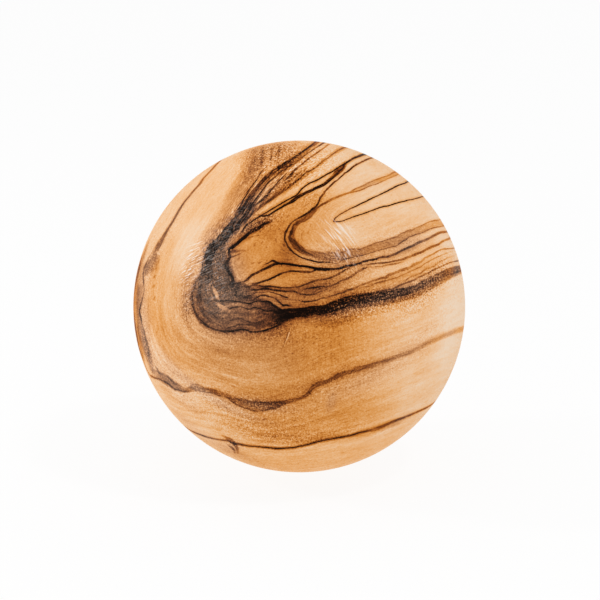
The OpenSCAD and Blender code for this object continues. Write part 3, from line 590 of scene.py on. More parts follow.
        (-12.47, 10.61, 0.46, 0.94), (-12.7, 10.45, 0.36)), glow=(0.8, 0.22)),
    vein("smudge over the third line", 0.4, None, (
        (-4.2, 16, 0.3, 0.1), (-5, 15.5, 0.5, 0.3), (-5.9, 15.2, 0.7), (-6.8, 14.95, 0.7, 0.45),
        (-7.6, 14.6, 0.5, 0.2))),
    vein("upper streak of the smudge", 0.34, None, (
        (-5, 16.4, 0.2, 0.1), (-6.1, 15.85, 0.35), (-7.2, 15.3, 0.4), (-8.2, 14.7, 0.3), (-8.8, 14.3, 0.2, 0.1))),
    vein("fine line under the third", 0.3, None, (
        (-6.6, 13, 0.1, 0.1), (-7.2, 12.9, 0.2), (-8.05, 12.75, 0.2), (-8.85, 12.5, 0.2), (-9.7, 12.2, 0.2, 0.2))),
    vein("fan stroke in the eye", 0.42, None, (
        (-12.4, 8.9, 0.3, 0.5), (-11.6, 9.15, 0.22), (-10.8, 9.5, 0.18), (-10, 9.9, 0.12, 0.1))),
    vein("soft side of the eye", 0.3, None, (
        (-12.3, 9.2, 0.5, 0.1), (-12.6, 8.2, 0.9), (-12.8, 7.3, 1.1), (-12.2, 6.2, 1.0), (-11.8, 5.2, 0.8), (-11.6, 4.6, 0.4, 0.1))),
    vein("wedge at the eye's corner", 0.5, None, (
        (-9.8, 10.2, 0.15, 0.15), (-10.6, 10.1, 0.3, 0.3), (-11.4, 10, 0.5), (-12.2, 9.9, 0.7, 0.5))),
    vein("left upright streak", 0.3, None, (
        (-9.4, 23, 0.4, 0), (-8.9, 24.8, 1, 0.12), (-8.4, 26.3, 1.2, 0.18), (-8.1, 27.6, 1.2, 0.18),
        (-8, 28.6, 0.8, 0.08))),
    vein("middle upright streak", 0.4, None, (
        (-7.1, 24.6, 0.25, 0.02), (-6.9, 25.8, 0.55, 0.32), (-6.7, 27, 0.65, 0.32),
        (-6.5, 28.2, 0.5, 0.32), (-6.4, 29, 0.3, 0.12))),
    vein("right upright streak", 0.38, None, (
        (-5.3, 25.6, 0.2, 0.1), (-5.2, 26.6, 0.35), (-5, 27.6, 0.35), (-4.9, 28.6, 0.3, 0.2))),
    vein("last upright streak", 0.42, None, (
        (-4.1, 26, 0.25, 0.1), (-3.8, 27, 0.4), (-3.7, 28, 0.45), (-3.6, 29, 0.4, 0.25))),
    vein("grey strand at the top", 0.4, None, (
        (3.4, 29.75, 0.5, 0.5), (2.6, 29.2, 0.5), (1.8, 28.75, 0.4), (1.1, 28.4, 0.2, 0.2))),
)

# Places where the wood shows pale between dark lines
PALE_STREAKS = (
    vein("lens in the knot", 0.55, None, (
        (-15.6, 3.6, 0.2, 0.3), (-15.4, 3, 0.5), (-15.1, 2.4, 0.6), (-14.8, 1.8, 0.5), (-14.6, 1.4, 0.25, 0.3))),
    vein("patch in the knot", 0.5, None, (
        (-15.1, 0.55, 0.2, 0.2), (-14.6, 0.3, 0.5), (-14, -0.1, 0.7), (-13.4, -0.35, 0.6, 0.4),
        (-12.9, -0.35, 0.3, 0.1))),
    vein("streak in the knot", 0.32, None, (
        (-12.9, 0.5, 0.2, 0.1), (-12.2, 0.4, 0.4), (-11.4, 0.35, 0.4), (-10.4, 0.3, 0.3), (-9.8, 0.1, 0.2, 0.1))),
    vein("gap by the top band", 0.34, None, (
        (-5.5, 24.7, 0.2, 0.08), (-6.2, 23.9, 0.25, 0.22), (-7, 22.9, 0.25, 0.22),
        (-7.8, 22, 0.2, 0.22), (-8.6, 20.9, 0.2, 0.22), (-9.3, 19.8, 0.2, 0.22), (-10, 18.7, 0.2, 0.22),
        (-10.4, 17.9, 0.15, 0.08))),
    vein("gap in the top band", 0.4, None, (
        (-3.2, 24, 0.15, 0.1), (-4.4, 22.6, 0.25), (-5.6, 21.3, 0.3), (-6.6, 20.05, 0.4), (-7.4, 19.1, 0.25),
        (-8, 18.3, 0.15, 0.1))),
    vein("wedge in the top band", 0.32, None, (
        (-7.2, 19.3, 0.2, 0.1), (-6.3, 20.5, 0.5), (-5.5, 21.6, 0.7), (-4.8, 22.5, 0.6), (-4, 23.3, 0.3, 0.1))),
    vein("second gap in the top band", 0.3, None, (
        (-1.4, 25.2, 0.15, 0.1), (-2.6, 24.05, 0.3), (-3.6, 23, 0.3), (-4.8, 21.7, 0.2, 0.1))),
    vein("pale side of the scratch", 0.6, None, (
        (-1.35, -3.6, 0.1, 0.1), (-1.75, -4.6, 0.16), (-2.3, -6.1, 0.14), (-2.9, -7.6, 0.1, 0.05))),
    vein("gap in the left band", 0.4, None, (
        (-29, -5.6, 0.1, 0.1), (-28.65, -6.9, 0.2), (-28.3, -8.2, 0.2), (-28, -9, 0.1, 0.1))),
    vein("bright gap above the knot", 0.3, None, (
        (-9.8, 14.9, 0.25, 0.2), (-10.4, 14.2, 0.45, 0.5), (-10.9, 13.4, 0.3), (-11.9, 12.2, 0.2),
        (-12.9, 11.2, 0.2, 0.1))),
)

ALL_VEINS = OUTER_VEINS + BLACK_BAND + RIGHT_BUNDLE + LOOPS + EYE + KNOT + TOP_BAND

# Soft patches: place, radius across and up, turn in degrees, and how much each adds to the
# tone, the stipple and the greyness. The last value is true on the far side
PATCHES = (
    ("heart", (2, 13, 7.5, 7, 0), (0.05, 0, 0.05), False),
    ("eye", (-6, 9.5, 7, 4.5, 15), (0.26, 0, 0.03), False),
    ("eye's left end", (-11.5, 7.5, 2, 3, 0), (0.03, 0.0, 0.3), False),
    ("eye's right end", (-2.2, 8.9, 1.6, 2.2, 0), (0.16, 0.0, 0.0), False),
    ("orange above the eye", (-1, 17.5, 6, 3, 30), (0.16, 0.0, 0.0), False),
    ("brown left of the loop", (-4.8, 14, 2.6, 1.6, 20), (0.06, 0.1, 0.0), False),
    ("under the second black line", (2.4, 19.5, 2.6, 1.3, 38), (0.06, 0.4, 0), False),
    ("by the blotched line", (4.2, 3.7, 3.6, 1.1, 12), (0.14, 0.2, 0.0), False),
    ("under the knot's right end", (-3.0, -3.9, 2.1, 1.3, 20), (0.12, 0.4, 0.0), False),
    ("left rim by the wedge", (-28.3, 8.7, 1.3, 3.0, -15), (0.3, 0, 0.05), False),
    ("bright strip by the left band", (-26.3, -2, 1.1, 7, 0), (-0.04, 0.0, 0.0), False),
    ("left end of the middle vein", (-26.6, -11.6, 1.2, 1.4, 0), (0.10, 0.2, 0.2), False),
    ("grey of the smudge", (-12, -25, 1.4, 2, -40), (0.0, 0.3, 0.5), False),
    ("haze by the band, low", (-15.2, 13.8, 1.7, 4.2, -40), (0.09, 0, 0.1), False),
    ("haze by the band, middle", (-12.4, 18.8, 1.9, 4.6, -34), (0.09, 0.05, 0.3), False),
    ("haze by the band, high", (-9.4, 23.6, 1.9, 4.6, -24), (0.09, 0.1, 0.15), False),
    ("below the eye", (0.5, 5.2, 7, 2.4, 0), (0.13, 0.0, 0.0), False),
    ("middle", (3.8, -7, 10, 8, 0), (0.25, 0, 0), False),
    ("middle left", (-9, -9, 9, 7, 0), (0.09, 0.05, 0.1), False),
    ("below the middle vein", (1, -21, 13, 5.5, 8), (0.235, 0, 0), False),
    ("bottom", (0, -29, 18, 7, 0), (0.11, 0, 0), False),
    ("speckle at the bottom", (-9, -21, 11, 5, 0), (0.025, 0.42, 0.04), False),
    ("lower left", (-17, -9, 8, 7, 0), (0.11, 0.08, 0.14), False),
    ("left side", (-26, 0, 5, 15, 0), (0.08, 0.0, 0.0), False),
    ("by the knot", (-21.8, 1.5, 2.0, 5, 0), (0.05, 0.1, 0.05), False),
    ("left rim", (-30, 4, 3, 20, 0), (0.10, 0.0, 0.0), False),
    # Painted highlights: these two patches lighten the wood, and the left one also greys it, where the lamps'
    # highlights fall
    ("painted highlight on the left", (-19.8, 11.5, 3.2, 5, -20), (-0.08, 0, 0.6), False),
    ("painted highlight on the right", (8.0, 13.4, 2.0, 2.4, 30), (-0.09, 0, 0.1), False),
    ("upper left", (-14, 24.5, 4, 6, -40), (0.03, 0.0, 0.0), False),
    ("upper right", (14, 21.5, 9, 7, 0), (-0.02, 0, 0), False),
    ("right side", (29, 1, 7, 16, 0), (-0.10, 0.0, 0.0), False),
    ("wedge", (1, 2.0, 6, 1.7, 12), (0.22, 0.1, 0.15), False),
    ("bundle", (12, 5.5, 10, 2.6, 15), (0.03, 0.2, 0.22), False),
    ("dark part of the bundle", (8.3, 8.0, 3.6, 2.4, 8), (0.15, 0.3, 0.05), False),
    ("gap over the knot", (-9.7, 14.1, 1.7, 0.9, 35), (0.24, 0.4, 0.2), False),
    ("above the bottom line", (0, -24, 9, 1.5, 4), (0.07, 0.3, 0.0), False),
    ("below the mid vein's end", (12, -13, 5, 1.6, 20), (0.05, 0.0, 0.0), False),
    ("left of the knot", (-20, 3.5, 1.8, 4.5, -10), (0.065, 0.1, 0.35), False),
    ("upper bundle", (17, 10.5, 8, 1.8, 22), (0.11, 0.1, 0.22), False),
    ("under the knot", (-6.5, -5.7, 7, 1.2, 0), (0.06, 0.2, 0), False),
    ("knot fringe", (-20.2, -0.2, 1.2, 2.8, 0), (0.16, 0.5, 0), False),
    ("grey of the knot", (-13.4, -0.4, 7.4, 5, 0), (0, 0.2, 0.74), False),
    # Partly painted sheen: the knot core's grey is partly the wood's own colour and partly a painted blue-grey
    # sheen of the left lamp
    ("grey and painted sheen of the knot core", (-15.5, 6.5, 3, 5, 0), (0.0, 0.35, 1.0), False),
    ("haze low by the band", (-17.0, 12.4, 1.6, 2.8, -40), (0.06, 0.1, 0.3), False),
    ("haze at the top", (-8.2, 26.4, 2.2, 8, 6), (0.14, 0.1, 0.2), False),
    ("stipple at the top", (-3.8, 28.4, 4.4, 8, 20), (0.24, 1, 0.1), False),
    # Partly painted sheen: the band's blue-grey is partly its own colour and partly a painted sheen of the left
    # lamp
    ("grey and painted sheen of the top band", (-11.5, 15, 1.8, 9, -38), (0.0, 0.3, 0.8), False),
    ("grey of the bundle", (6, 9.1, 5, 1.6, 5), (0, 0.3, 0.4), False),
    ("grey of the bundle's end", (19, 12.9, 9, 1.6, 24), (0, 0.2, 0.4), False),
    ("grey of the outer line", (-26.6, 8.2, 1.8, 3.5, -25), (0, 0.4, 0.4), False),
    ("grey of the outer line's top", (-22, 16.5, 2, 7, -33), (0, 0.1, 0.7), False),
    ("grey of the left band", (-28.6, 1, 3, 13, 0), (0, 0.3, 0.75), False),
    ("grey of the middle vein", (-18.5, -14.8, 9, 1.1, -16), (0, 0.2, 0.85), False),
    ("stipple in the middle vein", (5, -14, 9, 2.2, 22), (0, 0.25, 0.08), False),
    ("grey of the vein's end", (20, -8.2, 12, 2.4, 21), (0.0, 0.2, 0.6), False),
    ("faint grey mark", (5.8, -17.3, 0.8, 2, -10), (0.02, 0, 0.3), False),
    ("stipple by the black band", (12, 0.3, 8, 2.0, 12), (0.03, 1.0, 0.0), False),
    ("stipple by the rim", (24, 4.0, 8, 2.0, 26), (0.03, 1.0, 0.1), False),
    ("streaks by the streaked strand", (-2.5, 22.3, 5, 1.7, 40), (0.14, 0.5, 0.0), False),
    ("smudge over the third line", (-6.2, 15.4, 3.2, 1.2, 25), (0.06, 0.8, 0.0), False),
    ("grey of the black band", (18, 2.6, 12, 1.2, 15), (0, 0.2, 0.7), False),
    ("grey of the vein's far end", (27.2, -4.9, 7, 1.8, 22), (0, 0, 0.7), False),
    ("grey of the bottom line's left", (-17.5, -23.2, 7, 2.6, -20), (0, 0, 0.8), False),
    ("grey of the bottom line's right", (19, -20, 6, 1.3, 24), (0.0, 0.0, 0.5), False),
    ("grey of the twin line", (13, 22, 5, 1.3, 24), (0.0, 0.0, 0.4), False),
    ("between the swirls", (-5.6, 1.8, 3.0, 0.9, -14), (0.14, 0.0, 0.0), False),
    ("strip by the streaked strand", (-3, 20.1, 3.4, 0.6, 32), (-0.05, 0, 0), False),
    ("pink left of the knot", (-19.5, 6.2, 1.6, 2.6, -20), (0.06, 0.0, 0.0), False),
    ("grey of the vein's left end", (-23.2, -13.4, 6, 3, -38), (0, 0.2, 0.9), False),
    ("grey of the left band, low", (-27.4, -7.6, 2.4, 5, 12), (0.0, 0.2, 0.6), False),
    ("grey of the black band's end", (28.6, 6.8, 8, 2.2, 26), (0, 0.3, 0.9), False),
    ("grey of the mid band", (-7, -18, 4.5, 1.2, 0), (0, 0.1, 0.3), False),
    ("between the lower lines", (3, 5.8, 2.2, 0.8, 15), (0.08, 0.1, 0.1), False),
    ("inner side", (6, 16.5, 9, 3.2, 20), (0.03, 0.0, 0.0), False),
    ("inner right", (14, 15, 6, 3.5, 20), (0.03, 0.0, 0.0), False),
    ("right of the middle", (8.5, -4.6, 2.6, 3.5, 0), (0.03, 0.0, 0.0), False),
    ("left of the middle", (-4, -9.5, 4, 4, 0), (0, 0, 0.1), False),
    ("high cream", (13, 24.6, 4, 1.6, 24), (-0.03, 0.0, 0.0), False),
    ("right of the left band", (-26.2, 3.2, 1.8, 4, 0), (0.08, 0.1, 0), False),
    ("left part of the bottom rim", (-10, -27.2, 4, 2.5, 0), (0.04, 0.0, 0.0), False),
    ("grey by the third line", (-7.6, 15.1, 3, 1.1, 35), (0.03, 0.1, 0.25), False),
    ("grey of the eye's line", (21, 11.4, 6, 1, 27), (0.0, 0.0, 0.5), False),
    ("stipple low in the middle vein", (-8.5, -17.3, 7, 1.3, -4), (0.0, 0.3, 0.08), False),
    ("grey of the knot's tail", (-10.8, 2.8, 2.3, 1.5, -10), (0.03, 0.5, 0.35), False),
    ("far heart", (10, 14, 12, 10, 0), (0.14, 0.0, 0.0), True),
    ("far middle", (4, 2, 11, 8, 0), (0.22, 0.0, 0.0), True),
    ("far lower side", (-2, -20, 13, 9, 0), (0.15, 0.0, 0.1), True),
    ("far edge of the black band", (15, 8.2, 9, 1.8, 0), (0.10, 0.8, 0.0), True),
)

# Soft patches for the marks: place, radii and turn, and the strength of the pale sanding marks (partly
# painted highlights), of the dark strands along the band, of the upright fibres and of the growth rings
MARKED_PATCHES = (
    # Painted highlights: the left and right highlight patches, and more faintly the knot, make the sanding marks
    # pale where the lamps' highlights fall
    ("left highlight", (-19.4, 8, 1.8, 3, -20), (1, 0, 0, 0)),
    ("left of the knot", (-20.4, 3.5, 1.2, 3, 0), (0.25, 0.0, 0.0, 0.0)),
    ("knot", (-15.8, 5, 3.2, 4.5, 0), (0.18, 0, 0, 0)),
    ("right highlight", (7.2, 12.3, 2.0, 3.4, 30), (0.8, 0.0, 0.0, 0.0)),
    ("band, low", (-13.2, 14, 2.4, 5, -40), (0.12, 1.0, 0.0, 0.0)),
    ("band, middle", (-7.8, 20.6, 2.6, 6.5, -38), (0.0, 1.0, 0.0, 0.0)),
    ("band, high", (1, 26.5, 5, 8, -50), (0.0, 1.0, 0.0, 0.0)),
    ("haze at the top", (-8, 25.5, 3.6, 9, 0), (0, 0, 0.6, 0)),
    ("middle", (3, -7, 6, 7, 0), (0.0, 0.0, 0.15, 0.0)),
    ("rings at the lower left", (-18, -14, 13, 12, 0), (0, 0, 0, 0.8)),
    ("rings on the left", (-25, -2, 4, 12, 0), (0, 0, 0, 0.3)),
    ("rings at the bottom", (2, -24, 16, 5, 0), (0.0, 0.0, 0.0, 0.8)),
    ("rings on the right", (23, -4, 7, 12, 0), (0.0, 0.0, 0.0, 0.4)),
)

BASE_TONE = 0.12

# The distance stored where no line is near, in millimetres
FAR_OFF = 10.0


class Viewpoint:
    """Turns places in the camera's picture into places on the ball, all in millimetres."""

    def __init__(self, elevation, distance, radius):
        self.right = np.array((1.0, 0.0, 0.0))
        self.up = np.array((0.0, math.sin(elevation), math.cos(elevation)))
        self.back = np.array((0.0, -math.cos(elevation), math.sin(elevation)))
        self.distance = distance
        self.radius = radius
        self.tangent = math.tan(math.asin(radius / distance))

    def on_ball(self, across, up, behind=False):
        """The place where the camera's ray through (across, up) meets the near or far side."""
        reach = math.hypot(across, up) / DRAWN_RADIUS
        most = 0.99999
        if reach > most:
            across *= most / reach
            up *= most / reach
        slope = self.tangent / DRAWN_RADIUS
        ray = self.right * across * slope + self.up * up * slope - self.back
        eye = self.back * self.distance
        a = ray @ ray
        b = 2 * eye @ ray
        c = eye @ eye - self.radius ** 2
        root = math.sqrt(max(b * b - 4 * a * c, 0.0))
        far = (-b + root) / (2 * a)
        near = (-b - root) / (2 * a)
        return eye + ray * (far if behind else near)


def smooth_curve(points, step):
    """Points every step or so along a smooth curve through rows of numbers, the first three a place."""
    rows = np.array(points, float)
    lengths = np.linalg.norm(np.diff(rows[:, :3], axis=0), axis=1)
    lengths = np.maximum(lengths, 1e-6)
    slopes = np.diff(rows, axis=0) / lengths[:, None]
    tangents = np.empty_like(rows)
    tangents[0] = slopes[0]
    tangents[-1] = slopes[-1]
    before, after = lengths[:-1, None], lengths[1:, None]
    tangents[1:-1] = (slopes[:-1] * after + slopes[1:] * before) / (before + after)
    pieces = []
    for i, length in enumerate(lengths):
        count = max(int(math.ceil(length / step)), 1)
        t = (np.arange(count) / count)[:, None]
        pieces.append(
            (2 * t ** 3 - 3 * t ** 2 + 1) * rows[i]
            + (t ** 3 - 2 * t ** 2 + t) * length * tangents[i]
            + (3 * t ** 2 - 2 * t ** 3) * rows[i + 1]
            + (t ** 3 - t ** 2) * length * tangents[i + 1]
        )
    pieces.append(rows[-1:])
    return np.concatenate(pieces)


def drawn_line(line, view, step=0.2):
    """The curve of a vein on the ball: places, full widths and tones."""
    near_rows = []
    near = line["near"]
    for i, point in enumerate(near):
        across, up, width = point[:3]
        tone = point[3] if len(point) > 3 else line["tone"]
        first, last = near[max(i - 1, 0)], near[min(i + 1, len(near) - 1)]
        along = np.array((last[0] - first[0], last[1] - first[1]), float)
        along /= max(np.linalg.norm(along), 1e-9)
        reach = min(math.hypot(across, up) / DRAWN_RADIUS, 1.0)
        outwards = (along[0] * across + along[1] * up) / max(math.hypot(across, up), 1e-9)
        turned_away = 1.0 - reach ** 2
        spread = math.sqrt(outwards ** 2 + turned_away * (1.0 - outwards ** 2))
        across_width = min(width / max(spread, 1e-6), 2.2 * width)
        middle = view.on_ball(across, up)
        near_rows.append((*middle, across_width, tone))
    far_rows = []
    for point in line["behind"]:
        tone = point[3] if len(point) > 3 else line["tone"]
        far_rows.append((*view.on_ball(point[0], point[1], True), point[2], tone))
    rows = far_rows + near_rows if line["behind_first"] else near_rows + far_rows
    curve = smooth_curve(rows, step)
    curve[:, :3] *= view.radius / np.linalg.norm(curve[:, :3], axis=1)[:, None]
    return curve[:, :3], np.maximum(curve[:, 3], 0.0), np.clip(curve[:, 4], 0.0, 1.0)


def vein_field(places, curve, reach):
    """For the mesh's places near a curve: which they are, signed distance, width and tone there."""
    line, widths, tones = curve
    margin = reach + widths.max() / 2
    low, high = line.min(axis=0) - margin, line.max(axis=0) + margin
    near = np.flatnonzero(((places >= low) & (places <= high)).all(axis=1))
    if len(near) == 0:
        return near, None, None, None
    nearest = np.full(len(near), np.inf)
    index = np.zeros(len(near), int)
    chunk = 64
    for start in range(0, len(line), chunk):
        part = line[start:start + chunk]
        gaps = np.linalg.norm(places[near][:, None, :] - part[None, :, :], axis=2)
        best = gaps.argmin(axis=1)
        gap = gaps[np.arange(len(near)), best]
        better = gap < nearest
        nearest[better] = gap[better]
        index[better] = best[better] + start
    within = nearest < margin
    near, index, nearest = near[within], index[within], nearest[within]
    after = np.minimum(index + 1, len(line) - 1)
    before = np.maximum(index - 1, 0)
    along = line[after] - line[before]
    along /= np.maximum(np.linalg.norm(along, axis=1), 1e-9)[:, None]
    spot = places[near]
    normal = spot / np.linalg.norm(spot, axis=1)[:, None]
    offset = spot - line[index]
    sideways = np.einsum("ij,ij->i", np.cross(normal, along), offset)
    forwards = np.einsum("ij,ij->i", along, offset)
    at_end = (index == 0) & (forwards < 0) | (index == len(line) - 1) & (forwards > 0)
    signed = np.where(at_end, np.copysign(nearest, sideways), sideways)
    fade = np.clip((margin - nearest) / (0.45 * reach), 0.0, 1.0)
    return near, signed, widths[index] / 2, tones[index] * fade


def sorted_into_groups(curves, gap):
    """Groups of veins in which no two come within gap of each other."""
    thin = [curve[0][::3] for curve in curves]
    groups = []
    for i, line in enumerate(thin):
        for group in groups:
            clear = True
            for j in group:
                apart = np.linalg.norm(line[:, None, :] - thin[j][None, :, :], axis=2).min()
                wide = (curves[i][1].max() + curves[j][1].max()) / 2
                if apart < gap + wide:
                    clear = False
                    break
            if clear:
                group.append(i)
                break
        else:
            groups.append([i])
    return groups


def growth_field(places, veins, curves, spacing=2.6):
    """A smooth value over the ball that stays level along each vein that has a growth level."""
    knots, levels = [], []
    for line, curve in zip(veins, curves):
        if line["level"] is None:
            continue
        stride = max(int(spacing / 0.2), 1)
        for place in curve[0][::stride]:
            if all(np.linalg.norm(place - k) > 0.9 for k in knots):
                knots.append(place)
                levels.append(line["level"])
    knots, levels = np.array(knots), np.array(levels, float)
    gaps = np.linalg.norm(knots[:, None, :] - knots[None, :, :], axis=2)
    smoothing = 0.6
    weights = np.linalg.solve(
        np.block([[gaps - smoothing * np.eye(len(knots)), np.ones((len(knots), 1))],
                  [np.ones((1, len(knots))), np.zeros((1, 1))]]),
        np.append(levels, 0.0))
    field = np.full(len(places), weights[-1])
    for knot, weight in zip(knots, weights):
        field += weight * np.linalg.norm(places - knot, axis=1)
    return field


def soft_patch(places, view, shape, behind=False):
    """How strongly each place lies in a soft oval patch, from 0 to 1."""
    across, up, wide, tall, turn = shape
    centre = view.on_ball(across, up, behind)
    normal = centre / np.linalg.norm(centre)
    angle = math.radians(turn)
    x_axis = view.right * math.cos(angle) + view.up * math.sin(angle)
    x_axis = x_axis - normal * (x_axis @ normal)
    x_axis /= np.linalg.norm(x_axis)
    y_axis = np.cross(normal, x_axis)
    offset = places - centre
    x, y, z = offset @ x_axis, offset @ y_axis, offset @ normal
    size = (x / wide) ** 2 + (y / tall) ** 2 + (z / max(wide, tall)) ** 2
    return np.exp(-size ** 1.3 * 0.7)


def mark_fields(places, view):
    """How strongly the sanding marks, partly painted highlights, the strands, the fibres and the rings show at each
    place.
    """
    fields = np.zeros((len(places), 4))
    for name, shape, amounts in MARKED_PATCHES:
        fields += soft_patch(places, view, shape)[:, None] * np.array(amounts)
    return np.clip(fields, 0.0, 1.0)


def patch_fields(places, view):
    """The soft patches added up: tone, stipple and greyness at each place of the mesh."""
    fields = np.zeros((len(places), 3))
    fields[:, 0] = BASE_TONE
    for name, shape, amounts, behind in PATCHES:
        fields += soft_patch(places, view, shape, behind)[:, None] * np.array(amounts)
    fields[:, 0] = np.clip(fields[:, 0], 0.0, 0.8)
    fields[:, 1:] = np.clip(fields[:, 1:], 0.0, 1.0)
    return fields


# The ball's mesh

def node_of(tree, kind, settings=None, inputs=None):
    """A new node with its settings and the values or links of its sockets."""
    made = tree.nodes.new(kind)
    for name, value in (settings or {}).items():
        if name == "stops":
            ramp = made.color_ramp
            while len(ramp.elements) < len(value):
                ramp.elements.new(0.5)
            for element, (place, colour) in zip(ramp.elements, value):
                element.position = place
                element.color = (*colour, 1.0)
        else:
            setattr(made, name, value)
    for name, value in (inputs or {}).items():
        if isinstance(value, Term):
            value = value.socket
        if isinstance(value, bpy.types.NodeSocket):
            tree.links.new(value, made.inputs[name])
        else:
            made.inputs[name].default_value = value
    return made


class Term:
    """A socket that can be added, multiplied and so on, with Math nodes made as needed."""

    def __init__(self, socket):
        self.socket = socket

    def maths(self, operation, *others, clamp=False):
        inputs = {i: other for i, other in enumerate((self, *others))}
        return Term(node_of(self.socket.id_data, "ShaderNodeMath",
                            {"operation": operation, "use_clamp": clamp}, inputs).outputs[0])

    def __add__(self, other):
        return self.maths("ADD", other)

    def __radd__(self, other):
        return self.maths("ADD", other)

    def __sub__(self, other):
        return self.maths("SUBTRACT", other)

    def __rsub__(self, other):
        return Term(node_of(self.socket.id_data, "ShaderNodeMath", {"operation": "SUBTRACT"},
                            {0: other, 1: self}).outputs[0])

    def __mul__(self, other):
        return self.maths("MULTIPLY", other)

    def __rmul__(self, other):
        return self.maths("MULTIPLY", other)

    def __abs__(self):
        return self.maths("ABSOLUTE")

    def limited(self):
        return self.maths("ADD", 0.0, clamp=True)

    def ramp_between(self, low, high, at_low=0.0, at_high=1.0):
        """Smoothly at_low below low and at_high above high."""
        made = node_of(self.socket.id_data, "ShaderNodeMapRange",
                       {"interpolation_type": "SMOOTHSTEP"},
                       {0: self, 1: low, 2: high, 3: at_low, 4: at_high})
        return Term(made.outputs[0])


def ball_tree():
    """Geometry nodes that swell a finely divided cube into a true sphere."""
    tree = bpy.data.node_groups.new("turned ball", "GeometryNodeTree")
    face = tree.interface
    face.new_socket("Diameter", in_out="INPUT", socket_type="NodeSocketFloat")
    face.new_socket("Points along an edge", in_out="INPUT", socket_type="NodeSocketInt")
    face.new_socket("Finish", in_out="INPUT", socket_type="NodeSocketMaterial")
    face.new_socket("Geometry", in_out="OUTPUT", socket_type="NodeSocketGeometry")
    given = tree.nodes.new("NodeGroupInput")
    points = given.outputs["Points along an edge"]
    cube = node_of(tree, "GeometryNodeMeshCube", {}, {
        "Size": (2.0, 2.0, 2.0), "Vertices X": points, "Vertices Y": points, "Vertices Z": points})
    place = node_of(tree, "GeometryNodeInputPosition")
    angle = node_of(tree, "ShaderNodeVectorMath", {"operation": "SCALE"}, {
        0: place.outputs[0], "Scale": math.pi / 4})
    spread = node_of(tree, "ShaderNodeVectorMath", {"operation": "TANGENT"}, {0: angle.outputs[0]})
    round_off = node_of(tree, "ShaderNodeVectorMath", {"operation": "NORMALIZE"}, {0: spread.outputs[0]})
    radius = node_of(tree, "ShaderNodeMath", {"operation": "MULTIPLY"}, {
        0: given.outputs["Diameter"], 1: 0.5})
    swell = node_of(tree, "ShaderNodeVectorMath", {"operation": "SCALE"}, {
        0: round_off.outputs[0], "Scale": radius.outputs[0]})
    shaped = node_of(tree, "GeometryNodeSetPosition", {}, {
        "Geometry": cube.outputs["Mesh"], "Position": swell.outputs[0]})
    smooth = node_of(tree, "GeometryNodeSetShadeSmooth", {}, {"Geometry": shaped.outputs[0]})
    real = node_of(tree, "GeometryNodeRealizeInstances", {}, {"Geometry": smooth.outputs[0]})
    dressed = node_of(tree, "GeometryNodeSetMaterial", {}, {
        "Geometry": real.outputs[0], "Material": given.outputs["Finish"]})
    out = tree.nodes.new("NodeGroupOutput")
    tree.links.new(dressed.outputs[0], out.inputs["Geometry"])
    return tree


def plain_mesh(name, tree, values):
    """A plain mesh object from a tree of geometry nodes and its named inputs."""
    maker = bpy.data.objects.new(name + "_maker", bpy.data.meshes.new(name + "_maker"))
    bpy.context.scene.collection.objects.link(maker)
    modifier = maker.modifiers.new("shape", "NODES")
    modifier.node_group = tree
    for item in tree.interface.items_tree:
        if item.item_type == "SOCKET" and item.in_out == "INPUT":
            modifier[item.identifier] = values[item.name]
    bpy.context.view_layer.update()
    shown = maker.evaluated_get(bpy.context.evaluated_depsgraph_get())
    mesh = bpy.data.meshes.new_from_object(shown)
    mesh.name = name
    maker.modifiers.clear()
    bpy.data.objects.remove(maker)
    piece = bpy.data.objects.new(name, mesh)
    bpy.context.scene.collection.objects.link(piece)
    return piece


def lay_out_map(mesh):
    """A UV map of the ball's six square sides, two across and three up, for baking."""
    layer = mesh.uv_layers.get("OFBake") or mesh.uv_layers.new(name="OFBake")
    for other in [u.name for u in mesh.uv_layers if u.name != "OFBake"]:
        mesh.uv_layers.remove(mesh.uv_layers[other])
    layer = mesh.uv_layers["OFBake"]
    places = np.empty(len(mesh.vertices) * 3, np.float32)
    mesh.vertices.foreach_get("co", places)
    places = places.reshape(-1, 3).astype(float)
    corner_vertex = np.empty(len(mesh.loops), np.int32)
    mesh.loops.foreach_get("vertex_index", corner_vertex)
    first = np.empty(len(mesh.polygons), np.int32)
    mesh.polygons.foreach_get("loop_start", first)
    count = np.empty(len(mesh.polygons), np.int32)
    mesh.polygons.foreach_get("loop_total", count)
    face_of = np.repeat(np.arange(len(first)), count)
    centres = np.zeros((len(first), 3))
    np.add.at(centres, face_of, places[corner_vertex])
    axis = np.abs(centres).argmax(axis=1)
    sign = np.sign(centres[np.arange(len(first)), axis])
    side = (axis * 2 + (sign > 0)).astype(int)[face_of]
    axis, sign = axis[face_of], sign[face_of]
    corner = places[corner_vertex]
    depth = np.abs(corner[np.arange(len(corner)), axis])
    one = corner[np.arange(len(corner)), (axis + 1) % 3] / depth
    two = corner[np.arange(len(corner)), (axis + 2) % 3] / depth
    one = np.arctan(one) * 4 / math.pi * sign
    two = np.arctan(two) * 4 / math.pi
    margin = 0.004
    across = (side % 2 + 0.5 + one * (0.5 - margin * 2)) / 2
    up = (side // 2 + 0.5 + two * (0.5 - margin * 3)) / 3
    uv = np.stack((across, up), axis=1).astype(np.float32)
    layer.data.foreach_set("uv", uv.ravel())


def store(mesh, name, kind, values):
    """Keeps numbers on the mesh's points under a name that the material reads."""
    attribute = mesh.attributes.new(name, kind, "POINT")
    field = "vector" if kind == "FLOAT_VECTOR" else "value"
    attribute.data.foreach_set(field, np.asarray(values, np.float32).ravel())


